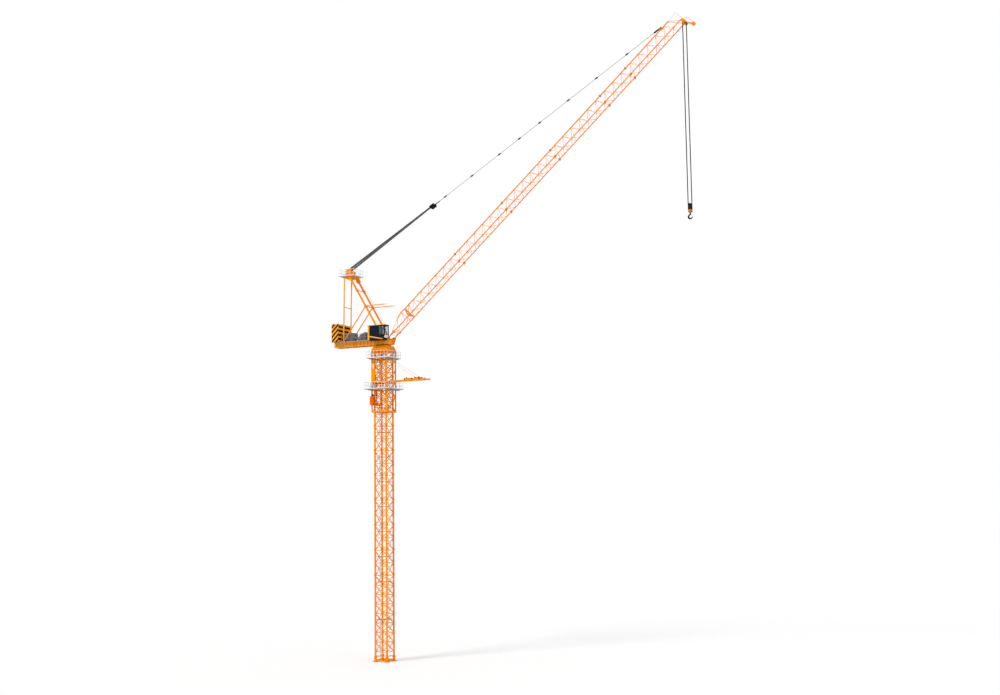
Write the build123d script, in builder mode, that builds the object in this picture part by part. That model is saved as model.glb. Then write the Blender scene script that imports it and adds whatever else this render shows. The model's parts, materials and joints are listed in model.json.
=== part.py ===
"""Luffing-jib tower crane with an outer climbing cage, a scale model at 1:10.

The mast stands on four anchored feet, with its axis on the origin and the ground at height zero.
The jib points along +X, the operator's cab hangs on the -Y side, +Z is up.
"""
from build123d import *
from math import atan, atan2, cos, degrees, hypot, radians, sin
import os

# Mast
mast_leg_spacing = 194.0
mast_leg_width = 20.0
mast_brace_width = 7.0
mast_brace_depth = 6.0
mast_base_height = 1229.0
mast_base_panels = 8
mast_base_first_level = 141.0
mast_section_height = 363.0
mast_sections_per_shaft = 3
mast_shaft_count = 3
mast_panels_per_section = 2
splice_width = 27.0
splice_height = 24.0
gusset_width = 46.0
gusset_height = 56.0
gusset_lift = 16.0
gusset_depth = 8.0

# Feet that carry the mast
foot_plate_width = 64.0
foot_plate_thickness = 9.0
foot_post_width = 28.0
foot_height = 66.0
foot_flange_width = 40.0
foot_flange_thickness = 7.0
foot_tie_width = 12.0
foot_tie_height = 22.0
anchor_bolt_spacing = 46.0
anchor_bolt_hole = 6.0

# Ladders and rest platforms inside the mast
rest_plate_thickness = 4.0
rest_plate_corner = 26.0
rest_first_height = 600.0
rest_height_share = 0.75
hatch_length = 62.0
hatch_width = 56.0
ladder_width = 40.0
ladder_rail_width = 5.0
ladder_depth = 5.0
ladder_rung_width = 3.5
ladder_rung_pitch = 30.0
ladder_offset = 48.0

# Climbing cage round the mast
cage_bottom = 3611.0
cage_top = 4540.0
cage_leg_spacing = 254.0
cage_leg_width = 16.0
cage_brace_width = 8.0
cage_brace_depth = 8.0
cage_ring_height = 22.0
cage_ring_heights = (3622.0, 4058.0, 4529.0)
cage_panel_counts = (2, 3)
cage_guide_width = 14.0
cage_plate_bottom = 4048.0
cage_plate_top = 4264.0
cage_plate_front = -72.0
cage_plate_thickness = 4.0
lower_deck_height = 3951.0
lower_deck_width = 427.0
upper_deck_height = 4413.0
upper_deck_width = 373.0
deck_thickness = 6.0
deck_bearer_width = 8.0
deck_bearer_height = 14.0
rail_height = 102.0
rail_width = 3.5
rail_post_pitch = 60.0
rail_mid_share = 0.52
control_box_size = (30.0, 40.0, 80.0)

# Climbing ram and its cross-head, at the back of the mast
ram_x = -124.0
ram_y = 0.0
ram_bottom = 3718.0
ram_barrel_radius = 10.0
ram_rod_radius = 5.5
ram_barrel_share = 0.62
ram_lug_width = 20.0
ram_lug_height = 24.0
yoke_height = 3740.0
yoke_length = 196.0
yoke_depth = 20.0
yoke_width = 40.0
yoke_claw_width = 20.0
hydraulic_box_size = (49.0, 42.0, 123.0)
hydraulic_box_bottom = 3722.0

# Beam that brings new sections into the cage
beam_height = 4070.0
beam_front = 752.0
beam_half_spacing = 73.0
beam_depth = 16.0
beam_width = 8.0
beam_stay_radius = 1.6
beam_stay_place = 640.0
beam_stay_top = 4380.0
beam_stay_half_spacing = 84.0
trolley_rear = 392.0
trolley_front = 662.0
trolley_height = 14.0
trolley_bar_width = 16.0

# Slewing parts
flange_width = 272.0
flange_thickness = 8.0
frustum_width = 264.0
frustum_top_width = 222.0
slew_base_top = 4604.0
slew_ring_top = 4614.0
slew_ring_radius = 104.0
slew_ring_bore = 89.0
slew_hub_radius = 86.0
slew_hub_bottom = 4607.0

# Counter-jib
frame_bottom = 4620.0
frame_top = 4695.0
frame_rear = -819.0
frame_front = 120.0
frame_width = 190.0
girder_flange_width = 26.0
girder_flange_thickness = 6.0
girder_web_thickness = 6.0
cross_beam_width = 14.0
cross_beam_places = (-812.0, -690.0, -560.0, -420.0, -280.0, -150.0, 105.0)
turret_plate_radius = 120.0
deck_plate_thickness = 3.0
heel_lug_thickness = 8.0
heel_lug_gap = 7.0
walk_width = 52.0
walk_rear = -772.0
walk_front = -140.0

# Counterweight
weight_rear = -803.0
weight_front = -684.0
weight_width = 364.0
weight_top = 4966.0
weight_slab_count = 4
weight_groove = 3.0

# Winches and cabinet
luff_drum_x = -628.0
luff_drum_radius = 40.0
luff_drum_height = 4752.0
luff_drum_length = 96.0
luff_body_front = -491.0
luff_body_top = 4830.0
hoist_drum_x = -352.0
hoist_drum_radius = 44.0
hoist_drum_height = 4760.0
hoist_drum_length = 104.0
hoist_body_front = -268.0
hoist_body_top = 4826.0
drum_flange_share = 1.24
drum_shaft_radius = 8.0
winch_plate_thickness = 7.0
winch_drum_gap = 10.2
cabinet_size = (60.0, 70.0, 96.0)
cabinet_x = -205.0

# A-frame
aframe_half_width = 99.0
front_leg_foot = (60.0, 4695.0)
front_leg_head = (-531.0, 5681.0)
rear_leg_foot = (-643.0, 4695.0)
rear_leg_head = (-627.0, 5681.0)
front_leg_width = 22.0
rear_leg_width = 15.0
strut_width = 11.0
rear_strut_height = 5225.0
front_strut_shares = (0.524, 0.784)
leg_top_width = 34.0
leg_top_bottom = 5622.0
head_bottom = 5681.0
head_top = 5812.0
head_rear = -652.0
head_front = -492.0
head_block_rear = -640.0
head_plate_thickness = 9.0
head_plate_half_spacing = 44.0
tackle_point = (-574.0, 5796.0)
head_sheave_radius = 26.0
head_sheave_count = 5
sheave_thickness = 7.0
sheave_pitch = 13.0
sheave_pin_radius = 6.0
head_deck_length = 264.0
head_deck_width = 272.0
arm_height = 5216.0
arm_front = 85.0
arm_tip = 147.0
arm_width = 12.0
arm_tip_width = 6.0

# Cab
cab_rear = -127.0
cab_front = 162.0
cab_inner_side = -116.0
cab_outer_side = -240.0
cab_bottom = 4672.0
cab_top = 4890.0
cab_wall = 6.0
cab_nose_slant = 34.0
cab_sill_share = 0.34
glass_thickness = 3.0
roof_overhang = 6.0
roof_thickness = 7.0

# Jib
pivot_x = 141.0
pivot_z = 4720.0
jib_angle = 41.0
jib_half_width = 84.0
jib_depth = 165.0
jib_chord_radius = 8.0
jib_top_chord_radius = 9.0
jib_lace_width = 4.0
heel_portal_place = 450.0
heel_portal_radius = 7.0
heel_portal_plate_share = 0.42
heel_strut_radius = 3.5
heel_eye_radius = 13.6
heel_brace_place = 52.0
jib_joint_places = (549.0, 1577.0, 2605.0, 3633.0, 4661.0, 5175.0)
jib_laces_per_long = 6
jib_head_place = 6030.0
heel_top_start = (262.0, 148.0)
heel_bend = (370.0, 174.0)
splice_radius = 12.0
splice_length = 26.0
lug_place = (5896.0, 184.0)
tip_place = (6172.0, -22.0)
tip_sheave_radius = 23.0
tip_sheave_half_spacing = 11.0
tip_plate_half_spacing = 34.0
tip_plate_radius = 26.5
tip_strut_radius = 3.2
tip_arm_radius = 5.5
arm_end_place = (6238.0, -141.0)
arm_block_width = 46.0
arm_block_depth = 34.0

# Luffing tackle and pendants
block_distance = 1661.0
block_length = 74.0
block_width = 68.0
block_depth = 44.0
pendant_radius = 4.0
pendant_joint_shares = (0.05, 0.174, 0.3, 0.391, 0.482, 0.608, 0.73, 0.86)
pendant_fork_length = 36.0
rope_radius = 3.0
rope_seat_gap = 0.3
tackle_block_pitch = 9.0
tackle_block_spread = 7.0

# Hoist tackle and hook
fall_half_spacing = tip_sheave_radius + rope_radius
block_top = 6225.0
hook_block_height = 118.0
hook_block_depth = 46.0
hook_block_cheek_width = 50.0
hook_block_base_width = 38.0
hook_block_base_height = 21.0
hook_block_cheek = 6.0
hook_sheave_radius = 23.0
hook_shank_radius = 9.0
hook_shank_length = 34.0
hook_bowl_radius = 27.0
hook_thickness = 14.0
hook_bar_width = 15.0
hook_mouth_width = 38.0
hook_mouth_height = 35.0
swivel_gap = 2.0

os.makedirs("parts", exist_ok=True)

# Derived sizes
mast_half = mast_leg_spacing / 2
mast_top = mast_base_height + mast_section_height * mast_sections_per_shaft * mast_shaft_count
jib_cos = cos(radians(jib_angle))
jib_sin = sin(radians(jib_angle))


def jib_point(along, side, above):
    """Point of the crane frame for a place along, beside and above the jib's foot pin."""
    return (
        pivot_x + along * jib_cos - above * jib_sin,
        side,
        pivot_z + along * jib_sin + above * jib_cos,
    )


def jib_direction(along, side, above):
    """Direction in the crane frame for one given along, beside and above the jib."""
    return (along * jib_cos - above * jib_sin, side, along * jib_sin + above * jib_cos)


def jib_plane(origin, along, normal):
    """Plane in the crane frame from an origin, an x direction and a normal given in the jib's own terms."""
    return Plane(origin=jib_point(*origin), x_dir=jib_direction(*along), z_dir=jib_direction(*normal))


def bar_face(plane, bars, width, depth):
    """Flat bars between pairs of points of one plane, fused into a single face and thickened."""
    with BuildSketch(plane) as face:
        for start, end in bars:
            run = end[0] - start[0]
            rise = end[1] - start[1]
            with Locations(((start[0] + end[0]) / 2, (start[1] + end[1]) / 2)):
                Rectangle(hypot(run, rise), width, rotation=degrees(atan2(rise, run)))
    extrude(to_extrude=face.sketch, amount=depth / 2, both=True)


def box_between(low, high):
    """Upright block between two opposite corners."""
    with BuildSketch(Plane.XY.offset(low[2])) as face:
        with Locations(((low[0] + high[0]) / 2, (low[1] + high[1]) / 2)):
            Rectangle(high[0] - low[0], high[1] - low[1])
    extrude(to_extrude=face.sketch, amount=high[2] - low[2])


def strut(start, end, width, depth=None, side=(0, 1, 0)):
    """Square bar from one point to another, its width measured along the given side direction."""
    line = Vector(*end) - Vector(*start)
    with BuildSketch(Plane(origin=start, x_dir=side, z_dir=line)) as face:
        Rectangle(width, depth or width)
    extrude(to_extrude=face.sketch, amount=line.length)


def tube(start, end, radius, sides=0):
    """Round bar, or one of a few sides, from one point to another."""
    line = Vector(*end) - Vector(*start)
    with BuildSketch(Plane(origin=start, z_dir=line)) as face:
        if sides:
            RegularPolygon(radius, sides)
        else:
            Circle(radius)
    extrude(to_extrude=face.sketch, amount=line.length)


def cross_pairs(low, high, half, panels):
    """Crossed diagonals of a stack of equal panels, as point pairs."""
    step = (high - low) / panels
    pairs = []
    for panel in range(panels):
        foot = low + step * panel
        pairs.append(((-half, foot), (half, foot + step)))
        pairs.append(((half, foot), (-half, foot + step)))
    return pairs


def four_sides(half):
    """Upright planes of the four sides of a square tower, each with its x axis level."""
    return [
        Plane(origin=(0, -half, 0), x_dir=(1, 0, 0), z_dir=(0, -1, 0)),
        Plane(origin=(half, 0, 0), x_dir=(0, 1, 0), z_dir=(1, 0, 0)),
        Plane(origin=(0, half, 0), x_dir=(-1, 0, 0), z_dir=(0, 1, 0)),
        Plane(origin=(-half, 0, 0), x_dir=(0, -1, 0), z_dir=(-1, 0, 0)),
    ]


def corner_posts(half, width, low, high):
    """Four upright posts at the corners of a square."""
    with BuildSketch(Plane.XY.offset(low)) as face:
        with GridLocations(half * 2, half * 2, 2, 2):
            Rectangle(width, width)
    extrude(to_extrude=face.sketch, amount=high - low)


def guard_rail(plane, length, height):
    """Posts, two rails and a toe board, in one upright plane that starts at the deck."""
    spaces = max(1, round(length / rail_post_pitch))
    bars = []
    for post in range(spaces + 1):
        place = -length / 2 + length * post / spaces
        bars.append(((place, 0), (place, height)))
    reach = (length + rail_width) / 2
    for share in (rail_mid_share, 1):
        bars.append(((-reach, height * share), (reach, height * share)))
    bar_face(plane, bars, rail_width, rail_width)


def rail_square(half_x, half_y, height, centre=(0, 0)):
    """Guard rails round a rectangular deck."""
    sides = [
        ((centre[0], centre[1] - half_y), (1, 0, 0), (0, -1, 0), half_x * 2),
        ((centre[0], centre[1] + half_y), (1, 0, 0), (0, -1, 0), half_x * 2),
        ((centre[0] - half_x, centre[1]), (0, 1, 0), (1, 0, 0), half_y * 2),
        ((centre[0] + half_x, centre[1]), (0, 1, 0), (1, 0, 0), half_y * 2),
    ]
    for middle, level, normal, length in sides:
        plane = Plane(origin=(middle[0], middle[1], height), x_dir=level, z_dir=normal)
        guard_rail(plane, length, rail_height)


# Feet: anchored plates, short posts with flanges and the ring of ties between them
with BuildPart() as base_frame:
    with BuildSketch() as foot_plates:
        with GridLocations(mast_leg_spacing, mast_leg_spacing, 2, 2):
            Rectangle(foot_plate_width, foot_plate_width)
        with GridLocations(mast_leg_spacing, mast_leg_spacing, 2, 2):
            with GridLocations(anchor_bolt_spacing, anchor_bolt_spacing, 2, 2):
                Circle(anchor_bolt_hole / 2, mode=Mode.SUBTRACT)
    extrude(to_extrude=foot_plates.sketch, amount=foot_plate_thickness)
    corner_posts(mast_half, foot_post_width, foot_plate_thickness, foot_height)
    corner_posts(mast_half, foot_flange_width, foot_height - foot_flange_thickness, foot_height)
    tie_low = foot_plate_thickness
    for side in (-mast_half, mast_half):
        box_between(
            (-mast_half, side - foot_tie_width / 2, tie_low),
            (mast_half, side + foot_tie_width / 2, tie_low + foot_tie_height),
        )
        box_between(
            (side - foot_tie_width / 2, -mast_half, tie_low),
            (side + foot_tie_width / 2, mast_half, tie_low + foot_tie_height),
        )
base_frame.part.label = "base_frame"
export_step(base_frame.part, "parts/base_frame.step")

# Base section of the mast
with BuildPart() as mast_base_section:
    corner_posts(mast_half, mast_leg_width, foot_height, mast_base_height)
    corner_posts(mast_half, splice_width, foot_height, foot_height + splice_height)
    for plane in four_sides(mast_half):
        low = mast_base_first_level
        high = mast_base_height - mast_brace_width / 2
        step = (high - low) / mast_base_panels
        bars = cross_pairs(low, high, mast_half, mast_base_panels)
        for level in range(mast_base_panels):
            bars.append(((-mast_half, low + step * level), (mast_half, low + step * level)))
        foot_level = foot_height + splice_height / 2
        bars.append(((-mast_half, foot_level), (mast_half, foot_level)))
        bar_face(plane, bars, mast_brace_width, mast_brace_depth)
mast_base_section.part.label = "mast_base_section"
export_step(mast_base_section.part, "parts/mast_base_section.step")

# Standard sections of the mast, three to a shaft
shaft_names = ("mast_shaft_lower", "mast_shaft_middle", "mast_shaft_upper")
shaft_height = mast_section_height * mast_sections_per_shaft
for shaft_number, shaft_name in enumerate(shaft_names):
    shaft_low = mast_base_height + shaft_height * shaft_number
    shaft_high = shaft_low + shaft_height
    with BuildPart() as mast_shaft:
        corner_posts(mast_half, mast_leg_width, shaft_low, shaft_high)
        for section in range(mast_sections_per_shaft):
            low = shaft_low + mast_section_height * section
            corner_posts(mast_half, splice_width, low, low + splice_height)
        for plane in four_sides(mast_half):
            bars = []
            for section in range(mast_sections_per_shaft):
                low = shaft_low + mast_section_height * section + mast_brace_width / 2
                high = low + mast_section_height - mast_brace_width
                middle = (low + high) / 2
                bars += cross_pairs(low, high, mast_half, mast_panels_per_section)
                for level in (low, middle):
                    bars.append(((-mast_half, level), (mast_half, level)))
            bar_face(plane, bars, mast_brace_width, mast_brace_depth)
            if abs(plane.z_dir.Y) > abs(plane.z_dir.X):
                continue
            with BuildSketch(plane) as gussets:
                for section in range(mast_sections_per_shaft):
                    low = shaft_low + mast_section_height * section + gusset_lift
                    with BuildLine():
                        Polyline(
                            (-mast_half, low),
                            (gusset_width - mast_half, low),
                            (-mast_half, low + gusset_height),
                            close=True,
                        )
                    make_face()
            extrude(to_extrude=gussets.sketch, amount=gusset_depth / 2, both=True)
    mast_shaft.part.label = shaft_name
    export_step(mast_shaft.part, "parts/" + shaft_name + ".step")

# Rest platforms and ladders inside the mast
rest_heights = [rest_first_height]
rest_heights.append(mast_base_height - mast_section_height * (1 - rest_height_share))
for number in range(mast_sections_per_shaft * mast_shaft_count):
    rest_heights.append(mast_base_height + mast_section_height * (number + rest_height_share))
rest_half = mast_half - mast_brace_depth / 2
with BuildPart() as mast_access:
    for number, height in enumerate(rest_heights):
        side = 1 if number % 2 else -1
        with BuildSketch(Plane.XY.offset(height)) as rest_plate:
            Rectangle(rest_half * 2, (mast_half - rest_plate_corner / 2) * 2)
            Rectangle((mast_half - rest_plate_corner / 2) * 2, rest_half * 2)
            with Locations((side * ladder_offset - side * hatch_length / 3, 0)):
                Rectangle(hatch_length, hatch_width, mode=Mode.SUBTRACT)
        extrude(to_extrude=rest_plate.sketch, amount=rest_plate_thickness)
    ladder_feet = [0.0] + [height + rest_plate_thickness for height in rest_heights[:-1]]
    for number, (foot, height) in enumerate(zip(ladder_feet, rest_heights)):
        side = 1 if number % 2 else -1
        place = side * (ladder_offset + hatch_length / 6 + ladder_depth / 2)
        plane = Plane(origin=(place, 0, 0), x_dir=(0, 1, 0), z_dir=(1, 0, 0))
        bars = []
        for rail in (-ladder_width / 2, ladder_width / 2):
            bars.append(((rail, foot), (rail, height + rest_plate_thickness)))
        bar_face(plane, bars, ladder_rail_width, ladder_depth)
        rungs = []
        count = int((height - foot) / ladder_rung_pitch)
        for rung in range(1, count + 1):
            level = foot + ladder_rung_pitch * rung - ladder_rung_pitch / 2
            rungs.append(((-ladder_width / 2, level), (ladder_width / 2, level)))
        bar_face(plane, rungs, ladder_rung_width, ladder_rung_width)
mast_access.part.label = "mast_access"
export_step(mast_access.part, "parts/mast_access.step")

# Climbing cage: legs, ring beams, crossed bracing and guide pads against the mast legs
cage_half = cage_leg_spacing / 2
cage_open_bays = ((1, 1), (3, 0))
with BuildPart() as climbing_cage:
    corner_posts(cage_half, cage_leg_width, cage_bottom, cage_top)
    for level, ring in enumerate(cage_ring_heights):
        for plane in four_sides(cage_half):
            bar_face(plane, [((-cage_half, ring), (cage_half, ring))], cage_ring_height, cage_brace_depth)
    for plane_number, plane in enumerate(four_sides(cage_half)):
        bars = []
        for bay, panels in enumerate(cage_panel_counts):
            low = cage_ring_heights[bay]
            high = cage_ring_heights[bay + 1]
            if (plane_number, bay) in cage_open_bays:
                continue
            bars += cross_pairs(low, high, cage_half, panels)
            for level in range(1, panels):
                height = low + (high - low) * level / panels
                bars.append(((-cage_half, height), (cage_half, height)))
        bar_face(plane, bars, cage_brace_width, cage_brace_depth)
    for ring in cage_ring_heights[:2]:
        for side_x in (-1, 1):
            for side_y in (-1, 1):
                inner = mast_half + mast_leg_width / 2
                box_between(
                    (min(side_x * inner, side_x * cage_half), side_y * mast_half - cage_guide_width / 2,
                     ring - cage_guide_width / 2),
                    (max(side_x * inner, side_x * cage_half), side_y * mast_half + cage_guide_width / 2,
                     ring + cage_guide_width / 2),
                )
climbing_cage.part.label = "climbing_cage"
export_step(climbing_cage.part, "parts/climbing_cage.step")

# Closing plate on the near side of the cage, beside its rear leg
with BuildPart() as cage_plate:
    plate_inner = -cage_half - cage_brace_depth / 2
    box_between(
        (-cage_half + cage_leg_width / 2, plate_inner - cage_plate_thickness, cage_plate_bottom),
        (cage_plate_front, plate_inner, cage_plate_top),
    )
cage_plate.part.label = "cage_plate"
export_step(cage_plate.part, "parts/cage_plate.step")

# Two working decks round the cage, each with bearers and guard rails
deck_list = (
    ("lower_deck", lower_deck_height, lower_deck_width),
    ("upper_deck", upper_deck_height, upper_deck_width),
)
for deck_name, deck_height, deck_width in deck_list:
    deck_half = deck_width / 2
    deck_hole = cage_half + cage_leg_width / 2
    with BuildPart() as deck:
        with BuildSketch(Plane.XY.offset(deck_height)) as deck_face:
            Rectangle(deck_width, deck_width)
            Rectangle(deck_hole * 2, deck_hole * 2, mode=Mode.SUBTRACT)
        extrude(to_extrude=deck_face.sketch, amount=deck_thickness)
        for place in (-deck_hole - deck_bearer_width / 2, deck_hole + deck_bearer_width / 2):
            box_between(
                (place - deck_bearer_width / 2, -deck_half, deck_height - deck_bearer_height),
                (place + deck_bearer_width / 2, deck_half, deck_height),
            )
        rail_square(deck_half - rail_width, deck_half - rail_width, deck_height + deck_thickness)
    deck.part.label = deck_name
    export_step(deck.part, "parts/" + deck_name + ".step")

# Pale control box on the lower deck, beside the cage's near rear leg
with BuildPart() as control_box:
    box_side = -cage_half - cage_leg_width / 2
    box_floor = lower_deck_height + deck_thickness
    box_between(
        (-cage_half, box_side - control_box_size[1], box_floor),
        (control_box_size[0] - cage_half, box_side, box_floor + control_box_size[2]),
    )
control_box.part.label = "control_box"
export_step(control_box.part, "parts/control_box.step")

# Climbing ram with its lug under the middle ring, and the cross-head it pushes on
ram_top = cage_ring_heights[1] - cage_ring_height / 2
with BuildPart() as climbing_ram:
    barrel_top = ram_top
    barrel_bottom = ram_top - (ram_top - ram_bottom) * ram_barrel_share
    tube((ram_x, ram_y, barrel_bottom), (ram_x, ram_y, barrel_top), ram_barrel_radius)
    tube((ram_x, ram_y, yoke_height + yoke_width / 2), (ram_x, ram_y, barrel_bottom), ram_rod_radius)
    box_between(
        (ram_x - ram_lug_width / 2, ram_y - ram_lug_width / 2, ram_top - ram_lug_height),
        (ram_x + ram_lug_width / 2, ram_y + ram_lug_width / 2, ram_top),
    )
climbing_ram.part.label = "climbing_ram"
export_step(climbing_ram.part, "parts/climbing_ram.step")

with BuildPart() as climbing_yoke:
    box_between(
        (ram_x - yoke_depth / 2, -yoke_length / 2, yoke_height - yoke_width / 2),
        (ram_x + yoke_depth / 2, yoke_length / 2, yoke_height + yoke_width / 2),
    )
    for side in (-1, 1):
        box_between(
            (ram_x, side * yoke_length / 2 - yoke_claw_width / 2, yoke_height - yoke_width / 2),
            (-mast_half - mast_leg_width / 2, side * yoke_length / 2 + yoke_claw_width / 2,
             yoke_height + yoke_width / 2),
        )
climbing_yoke.part.label = "climbing_yoke"
export_step(climbing_yoke.part, "parts/climbing_yoke.step")

# Hydraulic box on the cage's near rear leg
with BuildPart() as hydraulic_unit:
    box_rear = -cage_half - cage_leg_width / 2
    box_side = -cage_half - cage_leg_width / 2
    box_between(
        (box_rear, box_side - hydraulic_box_size[1], hydraulic_box_bottom),
        (box_rear + hydraulic_box_size[0], box_side, hydraulic_box_bottom + hydraulic_box_size[2]),
    )
hydraulic_unit.part.label = "hydraulic_unit"
export_step(hydraulic_unit.part, "parts/hydraulic_unit.step")

# Pair of beams that bring sections in, hung from stays, with their trolley
beam_root = cage_half + cage_leg_width / 2
beam_low = beam_height - beam_depth / 2
beam_top = beam_height + beam_depth / 2
with BuildPart() as section_beam:
    for side in (-1, 1):
        place = side * beam_half_spacing
        box_between(
            (beam_root, place - beam_width / 2, beam_low),
            (beam_front, place + beam_width / 2, beam_top),
        )
        stay_side = side * beam_stay_half_spacing
        stay_root = (beam_root, stay_side, beam_stay_top)
        tube(stay_root, (beam_stay_place, stay_side, beam_height), beam_stay_radius)
        box_between(
            (beam_stay_place - beam_width / 2, min(place, stay_side), beam_height - beam_width / 2),
            (beam_stay_place + beam_width / 2, max(place, stay_side), beam_height + beam_width / 2),
        )
    box_between(
        (beam_front - beam_width, -beam_half_spacing, beam_low),
        (beam_front, beam_half_spacing, beam_top),
    )
    box_between(
        (beam_root, -cage_half, beam_stay_top - beam_depth / 2),
        (beam_root + beam_width, cage_half, beam_stay_top + beam_depth / 2),
    )
section_beam.part.label = "section_beam"
export_step(section_beam.part, "parts/section_beam.step")

with BuildPart() as section_trolley:
    for side in (-1, 1):
        place = side * beam_half_spacing
        box_between(
            (trolley_rear, place - beam_width / 2, beam_top),
            (trolley_front, place + beam_width / 2, beam_top + trolley_height),
        )
    trolley_middle = (trolley_rear + trolley_front - trolley_bar_width) / 2
    for place in (trolley_rear, trolley_middle, trolley_front - trolley_bar_width):
        box_between(
            (place, -beam_half_spacing, beam_top),
            (place + trolley_bar_width, beam_half_spacing, beam_top + trolley_height),
        )
section_trolley.part.label = "section_trolley"
export_step(section_trolley.part, "parts/section_trolley.step")

# Base of the slewing ring: square flange, tapered box and outer race
with BuildPart() as slewing_base:
    box_between(
        (-flange_width / 2, -flange_width / 2, cage_top),
        (flange_width / 2, flange_width / 2, cage_top + flange_thickness),
    )
    with BuildSketch(Plane.XY.offset(cage_top + flange_thickness)) as frustum_face:
        Rectangle(frustum_width, frustum_width)
    frustum_height = slew_base_top - cage_top - flange_thickness
    frustum_taper = degrees(atan((frustum_width - frustum_top_width) / 2 / frustum_height))
    extrude(to_extrude=frustum_face.sketch, amount=frustum_height, taper=frustum_taper)
    with BuildSketch(Plane.XY.offset(mast_top)) as collar_face:
        Rectangle(mast_leg_spacing + splice_width, mast_leg_spacing + splice_width)
    extrude(to_extrude=collar_face.sketch, amount=cage_top - mast_top)
    with BuildSketch(Plane.XY.offset(slew_base_top)) as race_face:
        Circle(slew_ring_radius)
    extrude(to_extrude=race_face.sketch, amount=slew_ring_top - slew_base_top)
    with BuildSketch(Plane.XY.offset(slew_ring_top)) as bore_face:
        Circle(slew_ring_bore)
    extrude(to_extrude=bore_face.sketch, amount=slew_hub_bottom - slew_ring_top, mode=Mode.SUBTRACT)
slewing_base.part.label = "slewing_base"
export_step(slewing_base.part, "parts/slewing_base.step")

# Counter-jib: two side girders, cross beams, deck, slewing hub and heel lugs of the jib
frame_half = frame_width / 2
with BuildPart() as counter_jib:
    for side in (-1, 1):
        middle = side * (frame_half - girder_flange_width / 2)
        box_between(
            (frame_rear, middle - girder_web_thickness / 2, frame_bottom),
            (frame_front, middle + girder_web_thickness / 2, frame_top),
        )
        for low in (frame_bottom, frame_top - girder_flange_thickness):
            box_between(
                (frame_rear, middle - girder_flange_width / 2, low),
                (frame_front, middle + girder_flange_width / 2, low + girder_flange_thickness),
            )
    turret_half = frame_half - girder_flange_width / 2
    for place in cross_beam_places:
        box_between(
            (place - cross_beam_width / 2, -turret_half, frame_bottom),
            (place + cross_beam_width / 2, turret_half, frame_top - girder_flange_thickness),
        )
    box_between(
        (frame_rear, -turret_half, frame_top - deck_plate_thickness),
        (frame_front, turret_half, frame_top),
    )
    box_between(
        (-turret_plate_radius, -turret_half, frame_bottom),
        (frame_front, turret_half, frame_bottom + girder_flange_thickness),
    )
    tube((0, 0, slew_hub_bottom), (0, 0, frame_bottom), slew_hub_radius)
    lug_reach = jib_chord_radius * 2 + heel_lug_gap
    for side in (-1, 1):
        for offset in (-1, 1):
            lug_offset = jib_chord_radius + heel_lug_gap + heel_lug_thickness / 2
            middle = side * jib_half_width + offset * lug_offset
            with BuildSketch(Plane.XZ.offset(-middle)) as lug_face:
                with BuildLine():
                    Polyline(
                        (frame_front - lug_reach * 2, frame_top),
                        (frame_front - lug_reach * 2, frame_bottom),
                        (frame_front, frame_bottom),
                        (pivot_x + lug_reach / 2, pivot_z - lug_reach / 2),
                        (pivot_x + lug_reach / 2, pivot_z + lug_reach / 2),
                        (pivot_x - lug_reach / 2, pivot_z + lug_reach / 2),
                        close=True,
                    )
                make_face()
            extrude(to_extrude=lug_face.sketch, amount=heel_lug_thickness / 2, both=True)
        lug_outside = jib_chord_radius + heel_lug_gap + heel_lug_thickness
        tube(
            (pivot_x, side * jib_half_width - lug_outside, pivot_z),
            (pivot_x, side * jib_half_width + lug_outside, pivot_z),
            sheave_pin_radius,
        )
counter_jib.part.label = "counter_jib"
export_step(counter_jib.part, "parts/counter_jib.step")

# Walkway along the near side of the counter-jib
with BuildPart() as side_walkway:
    walk_outer = -frame_half - walk_width
    box_between((walk_rear, walk_outer, frame_top - deck_thickness), (walk_front, -frame_half, frame_top))
    rail_rear = weight_front + rail_post_pitch / 2
    plane = Plane(
        origin=((rail_rear + walk_front) / 2, walk_outer + rail_width, frame_top),
        x_dir=(1, 0, 0),
        z_dir=(0, -1, 0),
    )
    guard_rail(plane, walk_front - rail_rear - rail_width, rail_height)
side_walkway.part.label = "side_walkway"
export_step(side_walkway.part, "parts/side_walkway.step")

# Counterweight of stacked slabs
with BuildPart() as counterweight:
    slab_height = (weight_top - frame_top) / weight_slab_count
    box_between((weight_rear, -weight_width / 2, frame_top), (weight_front, weight_width / 2, weight_top))
    for slab in range(1, weight_slab_count):
        level = frame_top + slab_height * slab
        for place in (weight_rear, weight_front):
            with BuildSketch(Plane.XY.offset(level - weight_groove / 2)) as groove:
                with Locations((place, 0)):
                    Rectangle(weight_groove * 2, weight_width)
            extrude(to_extrude=groove.sketch, amount=weight_groove, mode=Mode.SUBTRACT)
counterweight.part.label = "counterweight"
export_step(counterweight.part, "parts/counterweight.step")


def winch_drum(place, height, radius, length):
    """Drum with end flanges on a shaft that lies across the counter-jib."""
    flange = radius * drum_flange_share
    tube((place, -length / 2, height), (place, length / 2, height), radius)
    for side in (-1, 1):
        end = side * length / 2
        tube((place, end, height), (place, end - side * winch_plate_thickness, height), flange)
    reach = length / 2 + winch_plate_thickness * 2
    tube((place, -reach, height), (place, reach, height), drum_shaft_radius)


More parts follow.
